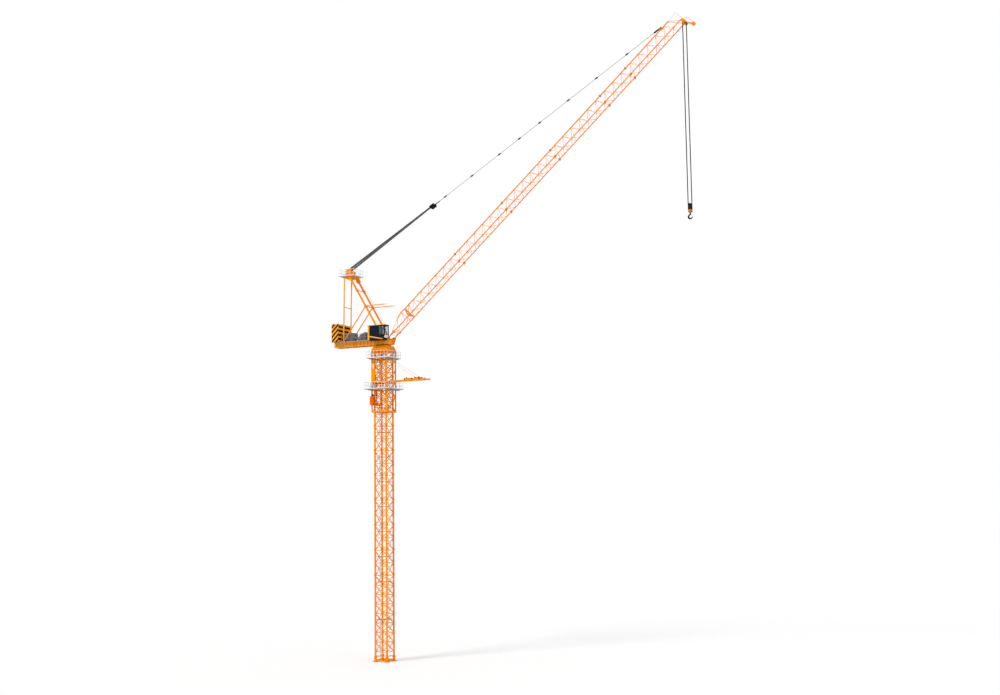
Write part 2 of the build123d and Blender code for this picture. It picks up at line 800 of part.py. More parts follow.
def winch_stand(place, height, radius, length, front, top):
    """Two bearing plates for the drum and the drive housing in front of it."""
    for side in (-1, 1):
        middle = side * (length / 2 + winch_plate_thickness * 2)
        with BuildSketch(Plane.XZ.offset(-middle)) as plate_face:
            with BuildLine():
                Polyline(
                    (place - radius, frame_top),
                    (front, frame_top),
                    (front, top),
                    (place + radius * drum_flange_share, top),
                    (place - radius / 2, height + radius / 2),
                    close=True,
                )
            make_face()
            with Locations((place, height)):
                Circle(drum_shaft_radius + swivel_gap / 2, mode=Mode.SUBTRACT)
        extrude(to_extrude=plate_face.sketch, amount=winch_plate_thickness / 2, both=True)
    inner = length / 2 + winch_plate_thickness * 2
    housing_rear = place + radius * drum_flange_share + winch_drum_gap
    box_between((housing_rear, -inner, frame_top), (front, inner, top))


# Luffing winch and hoist winch
with BuildPart() as luffing_winch:
    winch_stand(
        luff_drum_x,
        luff_drum_height,
        luff_drum_radius,
        luff_drum_length,
        luff_body_front,
        luff_body_top,
    )
luffing_winch.part.label = "luffing_winch"
export_step(luffing_winch.part, "parts/luffing_winch.step")

with BuildPart() as luffing_drum:
    winch_drum(luff_drum_x, luff_drum_height, luff_drum_radius, luff_drum_length)
luffing_drum.part.label = "luffing_drum"
export_step(luffing_drum.part, "parts/luffing_drum.step")

with BuildPart() as hoist_winch:
    winch_stand(
        hoist_drum_x,
        hoist_drum_height,
        hoist_drum_radius,
        hoist_drum_length,
        hoist_body_front,
        hoist_body_top,
    )
hoist_winch.part.label = "hoist_winch"
export_step(hoist_winch.part, "parts/hoist_winch.step")

with BuildPart() as hoist_drum:
    winch_drum(hoist_drum_x, hoist_drum_height, hoist_drum_radius, hoist_drum_length)
hoist_drum.part.label = "hoist_drum"
export_step(hoist_drum.part, "parts/hoist_drum.step")

with BuildPart() as electric_cabinet:
    box_between(
        (cabinet_x - cabinet_size[0] / 2, -cabinet_size[1] / 2, frame_top),
        (cabinet_x + cabinet_size[0] / 2, cabinet_size[1] / 2, frame_top + cabinet_size[2]),
    )
electric_cabinet.part.label = "electric_cabinet"
export_step(electric_cabinet.part, "parts/electric_cabinet.step")

# A-frame: sloping front legs, nearly upright rear legs, struts between them
front_run = front_leg_head[0] - front_leg_foot[0]
front_rise = front_leg_head[1] - front_leg_foot[1]


def front_leg_point(share, side):
    """Point of a front leg's axis at a share of its length from the foot."""
    return (front_leg_foot[0] + front_run * share, side, front_leg_foot[1] + front_rise * share)


with BuildPart() as aframe_front_legs:
    for side in (-aframe_half_width, aframe_half_width):
        strut(front_leg_point(0, side), front_leg_point(1, side), front_leg_width)
        box_between(
            (front_leg_foot[0] - front_leg_width, side - front_leg_width / 2, frame_top),
            (front_leg_foot[0] + front_leg_width, side + front_leg_width / 2, frame_top + front_leg_width),
        )
        top_share = (leg_top_bottom - front_leg_foot[1]) / front_rise
        strut(front_leg_point(top_share, side), front_leg_point(1, side), leg_top_width)
    for share in front_strut_shares:
        strut(
            front_leg_point(share, -aframe_half_width),
            front_leg_point(share, aframe_half_width),
            strut_width,
            side=(1, 0, 0),
        )
    add(counter_jib.part, mode=Mode.SUBTRACT)
aframe_front_legs.part.label = "aframe_front_legs"
export_step(aframe_front_legs.part, "parts/aframe_front_legs.step")

rear_run = rear_leg_head[0] - rear_leg_foot[0]
rear_rise = rear_leg_head[1] - rear_leg_foot[1]
with BuildPart() as aframe_rear_legs:
    rear_share = (rear_strut_height - rear_leg_foot[1]) / rear_rise
    rear_middle = rear_leg_foot[0] + rear_run * rear_share
    brace_share = (arm_height - front_leg_foot[1]) / front_rise
    for side in (-aframe_half_width, aframe_half_width):
        strut(
            (rear_leg_foot[0], side, rear_leg_foot[1]),
            (rear_leg_head[0], side, rear_leg_head[1]),
            rear_leg_width,
        )
        strut(
            (rear_leg_foot[0], side, rear_leg_foot[1] + rear_leg_width / 2),
            front_leg_point(brace_share, side),
            strut_width,
        )
    strut(
        (rear_middle, -aframe_half_width, rear_strut_height),
        (rear_middle, aframe_half_width, rear_strut_height),
        strut_width,
        side=(1, 0, 0),
    )
    for neighbour in (counter_jib, side_walkway, aframe_front_legs):
        add(neighbour.part, mode=Mode.SUBTRACT)
aframe_rear_legs.part.label = "aframe_rear_legs"
export_step(aframe_rear_legs.part, "parts/aframe_rear_legs.step")

# Head of the A-frame: cross beams, sheave plates and the sheaves of the luffing tackle
with BuildPart() as aframe_head:
    for place in (head_rear + strut_width, head_front - strut_width):
        box_between(
            (place - strut_width, -aframe_half_width - front_leg_width / 2, head_bottom - strut_width),
            (place + strut_width, aframe_half_width + front_leg_width / 2, head_bottom + strut_width),
        )
    for side in (-1, 1):
        middle = side * aframe_half_width
        box_between(
            (head_rear, middle - front_leg_width / 2, head_bottom - strut_width),
            (head_front, middle + front_leg_width / 2, head_bottom + strut_width),
        )
        with BuildSketch(Plane.XZ.offset(-side * head_plate_half_spacing)) as cheek:
            with BuildLine():
                Polyline(
                    (head_rear, head_bottom),
                    (head_front, head_bottom),
                    (tackle_point[0] + head_sheave_radius, tackle_point[1] - head_sheave_radius / 2),
                    (tackle_point[0] + head_sheave_radius / 2, head_top),
                    (head_block_rear, head_top),
                    close=True,
                )
            make_face()
        extrude(to_extrude=cheek.sketch, amount=head_plate_thickness / 2, both=True)
    tube(
        (tackle_point[0], -head_plate_half_spacing, tackle_point[1]),
        (tackle_point[0], head_plate_half_spacing, tackle_point[1]),
        sheave_pin_radius,
    )
    for number in range(head_sheave_count):
        place = (number - (head_sheave_count - 1) / 2) * sheave_pitch
        tube(
            (tackle_point[0], place - sheave_thickness / 2, tackle_point[1]),
            (tackle_point[0], place + sheave_thickness / 2, tackle_point[1]),
            head_sheave_radius,
        )
    for neighbour in (aframe_front_legs, aframe_rear_legs):
        add(neighbour.part, mode=Mode.SUBTRACT)
aframe_head.part.label = "aframe_head"
export_step(aframe_head.part, "parts/aframe_head.step")

# Deck round the head, on its cross beams
head_deck_height = head_bottom + strut_width
with BuildPart() as head_deck:
    cheek_reach = head_plate_half_spacing + head_plate_thickness / 2
    with BuildSketch(Plane.XY.offset(head_deck_height)) as head_deck_face:
        with Locations((tackle_point[0], 0)):
            Rectangle(head_deck_length, head_deck_width)
        with Locations(((head_front + head_rear) / 2, 0)):
            Rectangle(head_front - head_rear, cheek_reach * 2, mode=Mode.SUBTRACT)
    extrude(to_extrude=head_deck_face.sketch, amount=deck_thickness)
    rail_square(
        head_deck_length / 2 - rail_width,
        head_deck_width / 2 - rail_width,
        head_deck_height + deck_thickness,
        (tackle_point[0], 0),
    )
    for neighbour in (aframe_front_legs, aframe_rear_legs, aframe_head):
        add(neighbour.part, mode=Mode.SUBTRACT)
head_deck.part.label = "head_deck"
export_step(head_deck.part, "parts/head_deck.step")

# Backstop arms that reach forward from the front legs
with BuildPart() as backstop_arms:
    arm_share = (arm_height - front_leg_foot[1]) / front_rise
    arm_root = front_leg_point(arm_share, 0)[0]
    for side in (-1, 1):
        place = side * (aframe_half_width + front_leg_width / 2 + arm_width / 2)
        box_between(
            (arm_root, place - arm_width / 2, arm_height - arm_width / 2),
            (arm_front, place + arm_width / 2, arm_height + arm_width / 2),
        )
        box_between(
            (arm_front, place - arm_tip_width / 2, arm_height - arm_tip_width / 2),
            (arm_tip, place + arm_tip_width / 2, arm_height + arm_tip_width / 2),
        )
backstop_arms.part.label = "backstop_arms"
export_step(backstop_arms.part, "parts/backstop_arms.step")

# Cab: hollow shell open at the front and at the front of its sides, with glass in the openings
cab_depth = cab_inner_side - cab_outer_side
cab_middle = (cab_inner_side + cab_outer_side) / 2
cab_height = cab_top - cab_bottom
cab_sill = cab_bottom + cab_height * cab_sill_share
cab_pillar = cab_rear + (cab_front - cab_rear) * (1 - cab_sill_share)

with BuildPart() as cab_shell:
    with BuildSketch(Plane.XZ.offset(-cab_middle)) as cab_outline:
        with BuildLine():
            Polyline(
                (cab_rear, cab_bottom),
                (cab_front - cab_nose_slant, cab_bottom),
                (cab_front, cab_sill),
                (cab_front, cab_top),
                (cab_rear, cab_top),
                close=True,
            )
        make_face()
    extrude(to_extrude=cab_outline.sketch, amount=cab_depth / 2, both=True)
    with BuildSketch(Plane.XZ.offset(-cab_middle)) as cab_hollow:
        with BuildLine():
            Polyline(
                (cab_rear + cab_wall, cab_bottom + cab_wall),
                (cab_front - cab_nose_slant, cab_bottom + cab_wall),
                (cab_front - cab_wall, cab_sill),
                (cab_front - cab_wall, cab_top - cab_wall),
                (cab_rear + cab_wall, cab_top - cab_wall),
                close=True,
            )
        make_face()
    extrude(to_extrude=cab_hollow.sketch, amount=cab_depth / 2 - cab_wall, both=True, mode=Mode.SUBTRACT)
    window_low = cab_sill
    window_high = cab_top - cab_wall * 2
    window_front = cab_front - cab_wall * 2
    with BuildSketch(Plane.XY.offset(window_low)) as windows:
        with Locations(((cab_pillar + window_front) / 2, cab_middle)):
            Rectangle(window_front - cab_pillar, cab_depth * 2)
        with Locations((cab_front, cab_middle)):
            Rectangle(cab_wall * 4, cab_depth - cab_wall * 4)
    extrude(to_extrude=windows.sketch, amount=window_high - window_low, mode=Mode.SUBTRACT)
    for place in (cab_rear + cab_wall * 4, cab_front - cab_nose_slant * 3):
        box_between(
            (place - cab_wall, cab_inner_side, cab_bottom),
            (place + cab_wall, -frame_half, cab_bottom + cab_wall * 2),
        )
cab_shell.part.label = "cab_shell"
export_step(cab_shell.part, "parts/cab_shell.step")

pane_inset = (cab_wall - glass_thickness) / 2
side_panes = (
    ("cab_near_glass", cab_outer_side + pane_inset),
    ("cab_inner_glass", cab_inner_side - pane_inset - glass_thickness),
)
for pane_name, pane_side in side_panes:
    with BuildPart() as side_pane:
        box_between(
            (cab_pillar, pane_side, window_low),
            (window_front, pane_side + glass_thickness, window_high),
        )
    side_pane.part.label = pane_name
    export_step(side_pane.part, "parts/" + pane_name + ".step")

with BuildPart() as cab_front_glass:
    box_between(
        (cab_front - pane_inset - glass_thickness, cab_outer_side + cab_wall * 2, window_low),
        (cab_front - pane_inset, cab_inner_side - cab_wall * 2, window_high),
    )
cab_front_glass.part.label = "cab_front_glass"
export_step(cab_front_glass.part, "parts/cab_front_glass.step")

seat_size = (46.0, 46.0, 12.0)
seat_back_height = 62.0
seat_base_height = 34.0
seat_x = 60.0
with BuildPart() as cab_seat:
    floor_level = cab_bottom + cab_wall
    seat_level = floor_level + seat_base_height
    tube((seat_x, cab_middle, floor_level), (seat_x, cab_middle, seat_level), seat_size[2] / 2)
    box_between(
        (seat_x - seat_size[0] / 2, cab_middle - seat_size[1] / 2, seat_level),
        (seat_x + seat_size[0] / 2, cab_middle + seat_size[1] / 2, seat_level + seat_size[2]),
    )
    box_between(
        (seat_x - seat_size[0] / 2 - seat_size[2], cab_middle - seat_size[1] / 2, seat_level),
        (seat_x - seat_size[0] / 2, cab_middle + seat_size[1] / 2, seat_level + seat_back_height),
    )
cab_seat.part.label = "cab_seat"
export_step(cab_seat.part, "parts/cab_seat.step")

with BuildPart() as cab_roof:
    box_between(
        (cab_rear - roof_overhang, cab_outer_side - roof_overhang, cab_top),
        (cab_front + roof_overhang, cab_inner_side + roof_overhang, cab_top + roof_thickness),
    )
cab_roof.part.label = "cab_roof"
export_step(cab_roof.part, "parts/cab_roof.step")

# Jib: planes of its bottom and of its two sloping sides, drawn along the jib
side_slope = hypot(jib_half_width, jib_depth)
bottom_plane = jib_plane((0, 0, 0), (1, 0, 0), (0, 0, 1))
side_planes = [
    jib_plane((0, side * jib_half_width, 0), (1, 0, 0), (0, jib_depth, side * jib_half_width))
    for side in (-1, 1)
]


def zigzag(start, end, count, low, high):
    """Lacing that runs up and down between two lines, as point pairs."""
    step = (end - start) / count
    pairs = []
    for number in range(count):
        foot = start + step * number
        pairs.append(((foot, low), (foot + step / 2, high)))
        pairs.append(((foot + step / 2, high), (foot + step, low)))
    return pairs


def jib_bay(start, end, laces):
    """Three chords, three laced faces and the splice collars of one length of the jib."""
    for side in (-1, 1):
        chord_side = side * jib_half_width
        tube(jib_point(start, chord_side, 0), jib_point(end, chord_side, 0), jib_chord_radius, 8)
    tube(jib_point(start, 0, jib_depth), jib_point(end, 0, jib_depth), jib_top_chord_radius, 8)
    inset = jib_chord_radius
    bars = zigzag(start + inset, end - inset, laces, -jib_half_width, jib_half_width)
    bar_face(bottom_plane, bars, jib_lace_width, jib_lace_width)
    for side, plane in zip((-1, 1), side_planes):
        rise = side_slope if plane.y_dir.Z > 0 else -side_slope
        bars = zigzag(start + inset, end - inset, laces, 0, rise)
        bar_face(plane, bars, jib_lace_width, jib_lace_width)
    half_collar = splice_length / 2
    for place in (start, end - half_collar):
        for side, above in ((-jib_half_width, 0), (jib_half_width, 0), (0, jib_depth)):
            tube(jib_point(place, side, above), jib_point(place + half_collar, side, above), splice_radius, 8)


with BuildPart() as jib_heel:
    heel_end = jib_joint_places[0]
    heel_stop = heel_end - splice_length / 4
    heel_collar = heel_end - splice_length / 2
    top_start = jib_point(heel_top_start[0], 0, heel_top_start[1])
    top_bend = jib_point(heel_bend[0], 0, heel_bend[1])
    for side in (-1, 1):
        chord_side = side * jib_half_width
        tube(jib_point(0, chord_side, 0), jib_point(heel_stop, chord_side, 0), jib_chord_radius, 8)
        tube(jib_point(heel_collar, chord_side, 0), jib_point(heel_end, chord_side, 0), splice_radius, 8)
        tube(jib_point(heel_brace_place, chord_side, 0), top_start, heel_strut_radius, 6)
        tube(top_bend, jib_point(heel_bend[0], chord_side, 0), jib_lace_width, 6)
        tube(
            jib_point(heel_portal_place, 0, jib_depth),
            jib_point(heel_portal_place, chord_side, 0),
            heel_portal_radius,
            6,
        )
        tube(
            jib_point(heel_portal_place, chord_side, 0),
            jib_point(heel_collar, 0, jib_depth),
            jib_lace_width,
            6,
        )
        with BuildSketch(jib_plane((0, chord_side, 0), (1, 0, 0), (0, -1, 0))) as eye:
            Circle(heel_eye_radius)
        extrude(to_extrude=eye.sketch, amount=jib_chord_radius, both=True)
        with BuildSketch(jib_plane((0, chord_side, 0), (1, 0, 0), (0, -1, 0))) as bore:
            Circle(sheave_pin_radius + swivel_gap / 4)
        extrude(to_extrude=bore.sketch, amount=jib_chord_radius * 2, both=True, mode=Mode.SUBTRACT)
    tube(top_start, top_bend, jib_top_chord_radius, 8)
    portal_top = jib_point(heel_portal_place, 0, jib_depth)
    tube(top_bend, portal_top, jib_top_chord_radius, 8)
    tube(portal_top, jib_point(heel_stop, 0, jib_depth), jib_top_chord_radius, 8)
    tube(jib_point(heel_collar, 0, jib_depth), jib_point(heel_end, 0, jib_depth), splice_radius, 8)
    places = (heel_brace_place, heel_top_start[0], heel_portal_place)
    cross = [((place, -jib_half_width), (place, jib_half_width)) for place in places]
    for first, second in zip(places, places[1:]):
        cross.append(((first, -jib_half_width), (second, jib_half_width)))
        cross.append(((first, jib_half_width), (second, -jib_half_width)))
    bar_face(bottom_plane, cross, jib_lace_width, jib_lace_width)
    plate_rise = jib_depth * heel_portal_plate_share
    plate_reach = jib_half_width * (1 - heel_portal_plate_share)
    with BuildSketch(jib_plane((heel_portal_place, 0, 0), (0, 1, 0), (1, 0, 0))) as portal_plate:
        with BuildLine():
            Polyline(
                (-jib_half_width, 0),
                (jib_half_width, 0),
                (plate_reach, plate_rise),
                (0, plate_rise / 2),
                (-plate_reach, plate_rise),
                close=True,
            )
        make_face()
    extrude(to_extrude=portal_plate.sketch, amount=jib_lace_width / 2, both=True)
jib_heel.part.label = "jib_heel"
export_step(jib_heel.part, "parts/jib_heel.step")

bay_names = ("jib_section_1", "jib_section_2", "jib_section_3", "jib_section_4", "jib_section_5")
jib_lace_pitch = (jib_joint_places[1] - jib_joint_places[0]) / jib_laces_per_long
for number, bay_name in enumerate(bay_names):
    bay_start = jib_joint_places[number]
    bay_end = jib_joint_places[number + 1]
    bay_laces = round((bay_end - bay_start) / jib_lace_pitch)
    with BuildPart() as jib_section:
        jib_bay(bay_start, bay_end, bay_laces)
    jib_section.part.label = bay_name
    export_step(jib_section.part, "parts/" + bay_name + ".step")

# Jib head: last laced length, head plates, sheaves and the short arm in front
with BuildPart() as jib_head:
    head_start = jib_joint_places[-1]
    head_laces = round((jib_head_place - head_start) / jib_lace_pitch)
    jib_bay(head_start, jib_head_place, head_laces)
    plate_outside = tip_plate_half_spacing + winch_plate_thickness / 2
    for side in (-1, 1):
        chord_side = side * jib_half_width
        plate_side = side * plate_outside
        tube(
            jib_point(jib_head_place, chord_side, 0),
            jib_point(tip_place[0], chord_side, 0),
            jib_chord_radius,
            8,
        )
        tube(
            jib_point(jib_head_place - jib_chord_radius, 0, jib_depth),
            jib_point(tip_place[0], chord_side, tip_place[1]),
            tip_strut_radius,
            8,
        )
        tube(
            jib_point(tip_place[0], plate_side, tip_place[1]),
            jib_point(tip_place[0], side * (jib_half_width + jib_chord_radius), tip_place[1]),
            tip_sheave_radius,
        )
        tip_plate_origin = (0, side * tip_plate_half_spacing, 0)
        with BuildSketch(jib_plane(tip_plate_origin, (1, 0, 0), (0, -1, 0))) as tip_plate:
            with Locations((tip_place[0], tip_place[1])):
                Circle(tip_plate_radius)
        extrude(to_extrude=tip_plate.sketch, amount=winch_plate_thickness / 2, both=True)
        tube(
            jib_point(tip_place[0], plate_side, tip_place[1]),
            jib_point(arm_end_place[0], side * tip_sheave_half_spacing, arm_end_place[1]),
            tip_arm_radius,
            6,
        )
    with BuildSketch(jib_plane((0, 0, 0), (1, 0, 0), (0, -1, 0))) as arm_block:
        with Locations((arm_end_place[0], arm_end_place[1])):
            Rectangle(arm_block_width, arm_block_width)
    extrude(to_extrude=arm_block.sketch, amount=arm_block_depth / 2, both=True)
    with BuildSketch(jib_plane((0, 0, 0), (1, 0, 0), (0, -1, 0))) as lug_face:
        with BuildLine():
            Polyline(
                (lug_place[0] - splice_length * 2, jib_depth),
                (lug_place[0] + splice_length, jib_depth - splice_length),
                (lug_place[0] + splice_length / 2, lug_place[1] + splice_length / 3),
                (lug_place[0] - splice_length / 2, lug_place[1] + splice_length / 3),
                close=True,
            )
        make_face()
    extrude(to_extrude=lug_face.sketch, amount=winch_plate_thickness / 2, both=True)
    with BuildSketch(jib_plane((0, 0, 0), (1, 0, 0), (0, -1, 0))) as lug_bore:
        with Locations((lug_place[0], lug_place[1])):
            Circle(pendant_radius + swivel_gap / 4)
    extrude(to_extrude=lug_bore.sketch, amount=winch_plate_thickness, both=True, mode=Mode.SUBTRACT)
jib_head.part.label = "jib_head"
export_step(jib_head.part, "parts/jib_head.step")

with BuildPart() as tip_sheaves:
    for side in (-1, 1):
        tube(
            jib_point(tip_place[0], side * tip_sheave_half_spacing - sheave_thickness / 2, tip_place[1]),
            jib_point(tip_place[0], side * tip_sheave_half_spacing + sheave_thickness / 2, tip_place[1]),
            tip_sheave_radius,
        )
    hub_reach = tip_plate_half_spacing - winch_plate_thickness / 2
    tube(
        jib_point(tip_place[0], -hub_reach, tip_place[1]),
        jib_point(tip_place[0], hub_reach, tip_place[1]),
        sheave_pin_radius + swivel_gap,
    )
tip_sheaves.part.label = "tip_sheaves"
export_step(tip_sheaves.part, "parts/tip_sheaves.step")

# Pendant line: a rod from the jib's lug to the travelling block, with couplings on it
lug_point = jib_point(lug_place[0], 0, lug_place[1])
tackle_start = (tackle_point[0], 0, tackle_point[1])
line_vector = (Vector(*lug_point) - Vector(*tackle_start)).normalized()
block_point = Vector(*tackle_start) + line_vector * block_distance
pendant_start = block_point + line_vector * (block_length / 2)
pendant_run = (Vector(*lug_point) - pendant_start).length


def line_plane(distance):
    """Plane across the luffing line at a distance from the A-frame's head."""
    place = Vector(*tackle_start) + line_vector * distance
    return Plane(origin=place, x_dir=(0, 1, 0), z_dir=line_vector)


with BuildPart() as pendant_line:
    pin_reach = winch_plate_thickness / 2 + pendant_radius * 2 + swivel_gap
    pendant_end = Vector(*lug_point) - line_vector * pendant_fork_length
    tube(tuple(pendant_start), tuple(pendant_end), pendant_radius, 8)
    for share in pendant_joint_shares:
        middle = pendant_start + line_vector * (pendant_run * share)
        coupling_low = middle - line_vector * splice_length / 2
        with BuildSketch(Plane(origin=coupling_low, x_dir=(0, 1, 0), z_dir=line_vector)) as coupling:
            Rectangle(splice_length / 2, splice_length / 2)
        extrude(to_extrude=coupling.sketch, amount=splice_length)
    with BuildSketch(Plane(origin=pendant_end, x_dir=(0, 1, 0), z_dir=line_vector)) as fork_base:
        Rectangle(pin_reach * 2 + winch_plate_thickness, splice_length / 2)
    extrude(to_extrude=fork_base.sketch, amount=winch_plate_thickness)
    for side in (-1, 1):
        with BuildSketch(Plane(origin=pendant_end, x_dir=(0, 1, 0), z_dir=line_vector)) as fork_arm:
            with Locations((side * pin_reach, 0)):
                Rectangle(winch_plate_thickness, splice_length / 2)
        extrude(to_extrude=fork_arm.sketch, amount=pendant_fork_length + splice_length / 4)
    tube(
        (lug_point[0], -pin_reach, lug_point[2]),
        (lug_point[0], pin_reach, lug_point[2]),
        pendant_radius,
    )
pendant_line.part.label = "pendant_line"
export_step(pendant_line.part, "parts/pendant_line.step")

with BuildPart() as travelling_block:
    with BuildSketch(line_plane(block_distance - block_length / 2)) as block_face:
        Rectangle(block_width, block_depth)
    extrude(to_extrude=block_face.sketch, amount=block_length)
travelling_block.part.label = "travelling_block"
export_step(travelling_block.part, "parts/travelling_block.step")

# Falls of the luffing tackle, two to each sheave, from its upper and lower side to the block
across = Vector(-line_vector.Z, 0, line_vector.X)
with BuildPart() as luffing_ropes:
    block_face_point = Vector(*tackle_start) + line_vector * (block_distance - block_length / 2)
    for number in range(head_sheave_count):
        share = number - (head_sheave_count - 1) / 2
        rope_seat = head_sheave_radius + rope_radius + rope_seat_gap
        for edge in (-1, 1):
            rope_start = Vector(*tackle_start) + across * (edge * rope_seat)
            rope_end = block_face_point + across * (edge * tackle_block_spread)
            tube(
                (rope_start.X, share * sheave_pitch, rope_start.Z),
                (rope_end.X, share * tackle_block_pitch, rope_end.Z),
                rope_radius,
                6,
            )
    with BuildSketch(line_plane(block_distance - block_length / 2)) as block_trim:
        Rectangle(block_width * 2, block_width * 2)
    extrude(to_extrude=block_trim.sketch, amount=block_length, mode=Mode.SUBTRACT)
luffing_ropes.part.label = "luffing_ropes"
export_step(luffing_ropes.part, "parts/luffing_ropes.step")

# Hoist ropes, hook block and hook
tip_point = jib_point(tip_place[0], 0, tip_place[1])
fall_offsets = [
    (side_x * fall_half_spacing, side_y * tip_sheave_half_spacing) for side_x in (-1, 1) for side_y in (-1, 1)
]
with BuildPart() as hoist_ropes:
    with BuildSketch(Plane.XY.offset(block_top - hook_sheave_radius)) as fall_face:
        for offset_x, offset_y in fall_offsets:
            with Locations((tip_point[0] + offset_x, offset_y)):
                RegularPolygon(rope_radius, 6)
    extrude(to_extrude=fall_face.sketch, amount=tip_point[2] - block_top + hook_sheave_radius)
hoist_ropes.part.label = "hoist_ropes"
export_step(hoist_ropes.part, "parts/hoist_ropes.step")

block_base = block_top - hook_block_height
with BuildPart() as hook_block:
    sheave_level = block_top - hook_sheave_radius
    for side in (-1, 1):
        place = side * tip_sheave_half_spacing
        tube(
            (tip_point[0], place - sheave_thickness / 2, sheave_level),
            (tip_point[0], place + sheave_thickness / 2, sheave_level),
            hook_sheave_radius,
        )
    tube(
        (tip_point[0], -hook_block_depth / 2, sheave_level),
        (tip_point[0], hook_block_depth / 2, sheave_level),
        sheave_pin_radius,
    )
    for side in (-1, 1):
        middle = side * (hook_block_depth / 2 - hook_block_cheek / 2)
        with BuildSketch(Plane.XZ.offset(-middle)) as cheek:
            with Locations((tip_point[0], (sheave_level + block_base) / 2)):
                Rectangle(hook_block_cheek_width, sheave_level - block_base + hook_block_cheek)
        extrude(to_extrude=cheek.sketch, amount=hook_block_cheek / 2, both=True)
    base_low = block_base - hook_block_cheek / 2
    box_between(
        (tip_point[0] - hook_block_base_width / 2, -hook_block_depth / 2, base_low),
        (tip_point[0] + hook_block_base_width / 2, hook_block_depth / 2, base_low + hook_block_base_height),
    )
hook_block.part.label = "hook_block"
export_step(hook_block.part, "parts/hook_block.step")

with BuildPart() as hook:
    shank_top = block_base - hook_block_cheek / 2
    shank_low = shank_top - hook_shank_length
    tube((tip_point[0], 0, shank_low), (tip_point[0], 0, shank_top), hook_shank_radius)
    hook_centre = (tip_point[0], shank_low - hook_bowl_radius)
    with BuildSketch(Plane.XZ) as hook_face:
        with Locations(hook_centre):
            Circle(hook_bowl_radius + hook_bar_width / 2)
            Circle(hook_bowl_radius - hook_bar_width / 2, mode=Mode.SUBTRACT)
        with Locations((hook_centre[0] + hook_bowl_radius, hook_centre[1] + hook_bowl_radius / 2)):
            Rectangle(hook_mouth_width, hook_mouth_height, mode=Mode.SUBTRACT)
    extrude(to_extrude=hook_face.sketch, amount=hook_thickness / 2, both=True)
hook.part.label = "hook"
export_step(hook.part, "parts/hook.step")
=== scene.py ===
"""Finishes and fine pieces of a 1:10 luffing-jib tower crane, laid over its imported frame.

Forms are in millimetres and frame calls in metres, in the frame's own axes: +X the way the jib points,
+Y away from the cab, +Z up the mast, with the ground at zero. Every shape is computed as whole arrays.
"""

import json
import logging
import math
from dataclasses import dataclass
from enum import Enum

import bpy
import numpy as np
from mathutils import Matrix, Vector

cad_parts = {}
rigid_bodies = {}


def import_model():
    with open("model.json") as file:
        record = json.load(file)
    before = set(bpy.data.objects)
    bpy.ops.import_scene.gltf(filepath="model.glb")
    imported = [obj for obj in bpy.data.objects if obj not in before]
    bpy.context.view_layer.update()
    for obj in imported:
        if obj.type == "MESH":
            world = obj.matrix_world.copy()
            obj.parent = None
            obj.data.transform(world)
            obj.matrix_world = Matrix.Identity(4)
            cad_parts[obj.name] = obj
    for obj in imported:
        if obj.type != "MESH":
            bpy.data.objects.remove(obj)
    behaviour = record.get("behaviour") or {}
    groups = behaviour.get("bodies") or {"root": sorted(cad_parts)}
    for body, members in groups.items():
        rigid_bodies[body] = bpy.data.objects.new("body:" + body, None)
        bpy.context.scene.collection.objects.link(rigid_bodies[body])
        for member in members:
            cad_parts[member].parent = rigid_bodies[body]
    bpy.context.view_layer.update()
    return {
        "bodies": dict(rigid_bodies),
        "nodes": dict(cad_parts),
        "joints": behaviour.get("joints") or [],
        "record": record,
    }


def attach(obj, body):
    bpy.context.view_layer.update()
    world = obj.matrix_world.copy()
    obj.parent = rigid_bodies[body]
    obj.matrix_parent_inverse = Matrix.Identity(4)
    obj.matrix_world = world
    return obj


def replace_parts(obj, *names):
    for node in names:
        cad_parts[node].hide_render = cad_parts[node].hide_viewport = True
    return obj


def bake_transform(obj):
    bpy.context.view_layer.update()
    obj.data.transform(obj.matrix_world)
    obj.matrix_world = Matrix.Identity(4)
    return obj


LOG = logging.getLogger("crane")
IMAGE_WIDTH = 1000
MILLIMETRE = 0.001

Colour = tuple[float, float, float]
Point = tuple[float, float, float]
Row = tuple[float, ...]
Profile = tuple[tuple[float, float], ...]
Form = tuple[np.ndarray, list[np.ndarray]]
Socket = bpy.types.NodeSocket


class Facing(Enum):
    """Direction that a fastener or a round piece faces."""

    FORE = (1.0, 0.0, 0.0)
    AFT = (-1.0, 0.0, 0.0)
    FAR = (0.0, 1.0, 0.0)
    NEAR = (0.0, -1.0, 0.0)
    UP = (0.0, 0.0, 1.0)
    DOWN = (0.0, 0.0, -1.0)


# Both sides of the crane, and each with the direction that looks out of it.
SIDES = (-1, 1)
ACROSS = ((-1, Facing.NEAR), (1, Facing.FAR))
ZERO = (0.0, 0.0, 0.0)
# Points round a rope, its strands, and the length in which a strand goes once round.
ROPE_SIDES = 18
ROPE_STRANDS = 6
ROPE_LAY = 44.0


@dataclass(frozen=True)
class Frame:
    """Square frame that forms are given in.

    Attributes:
        origin: Place of its origin in the crane's frame.
        axes: Directions of its axes as rows.
    """

    origin: np.ndarray
    axes: np.ndarray

    def place(self, points: np.ndarray) -> np.ndarray:
        """Takes points to the crane's frame."""
        return np.asarray(points, float) @ self.axes + self.origin


def leaning(origin: Point, along: np.ndarray) -> Frame:
    """Frame whose first axis leans in the plane of the jib and whose second runs across the crane.

    Args:
        origin: Place of its origin.
        along: Unit vector of its first axis.

    Returns:
        The frame.
    """
    return Frame(np.array(origin, float), np.array((along, (0, 1, 0), np.cross(along, (0, 1, 0)))))


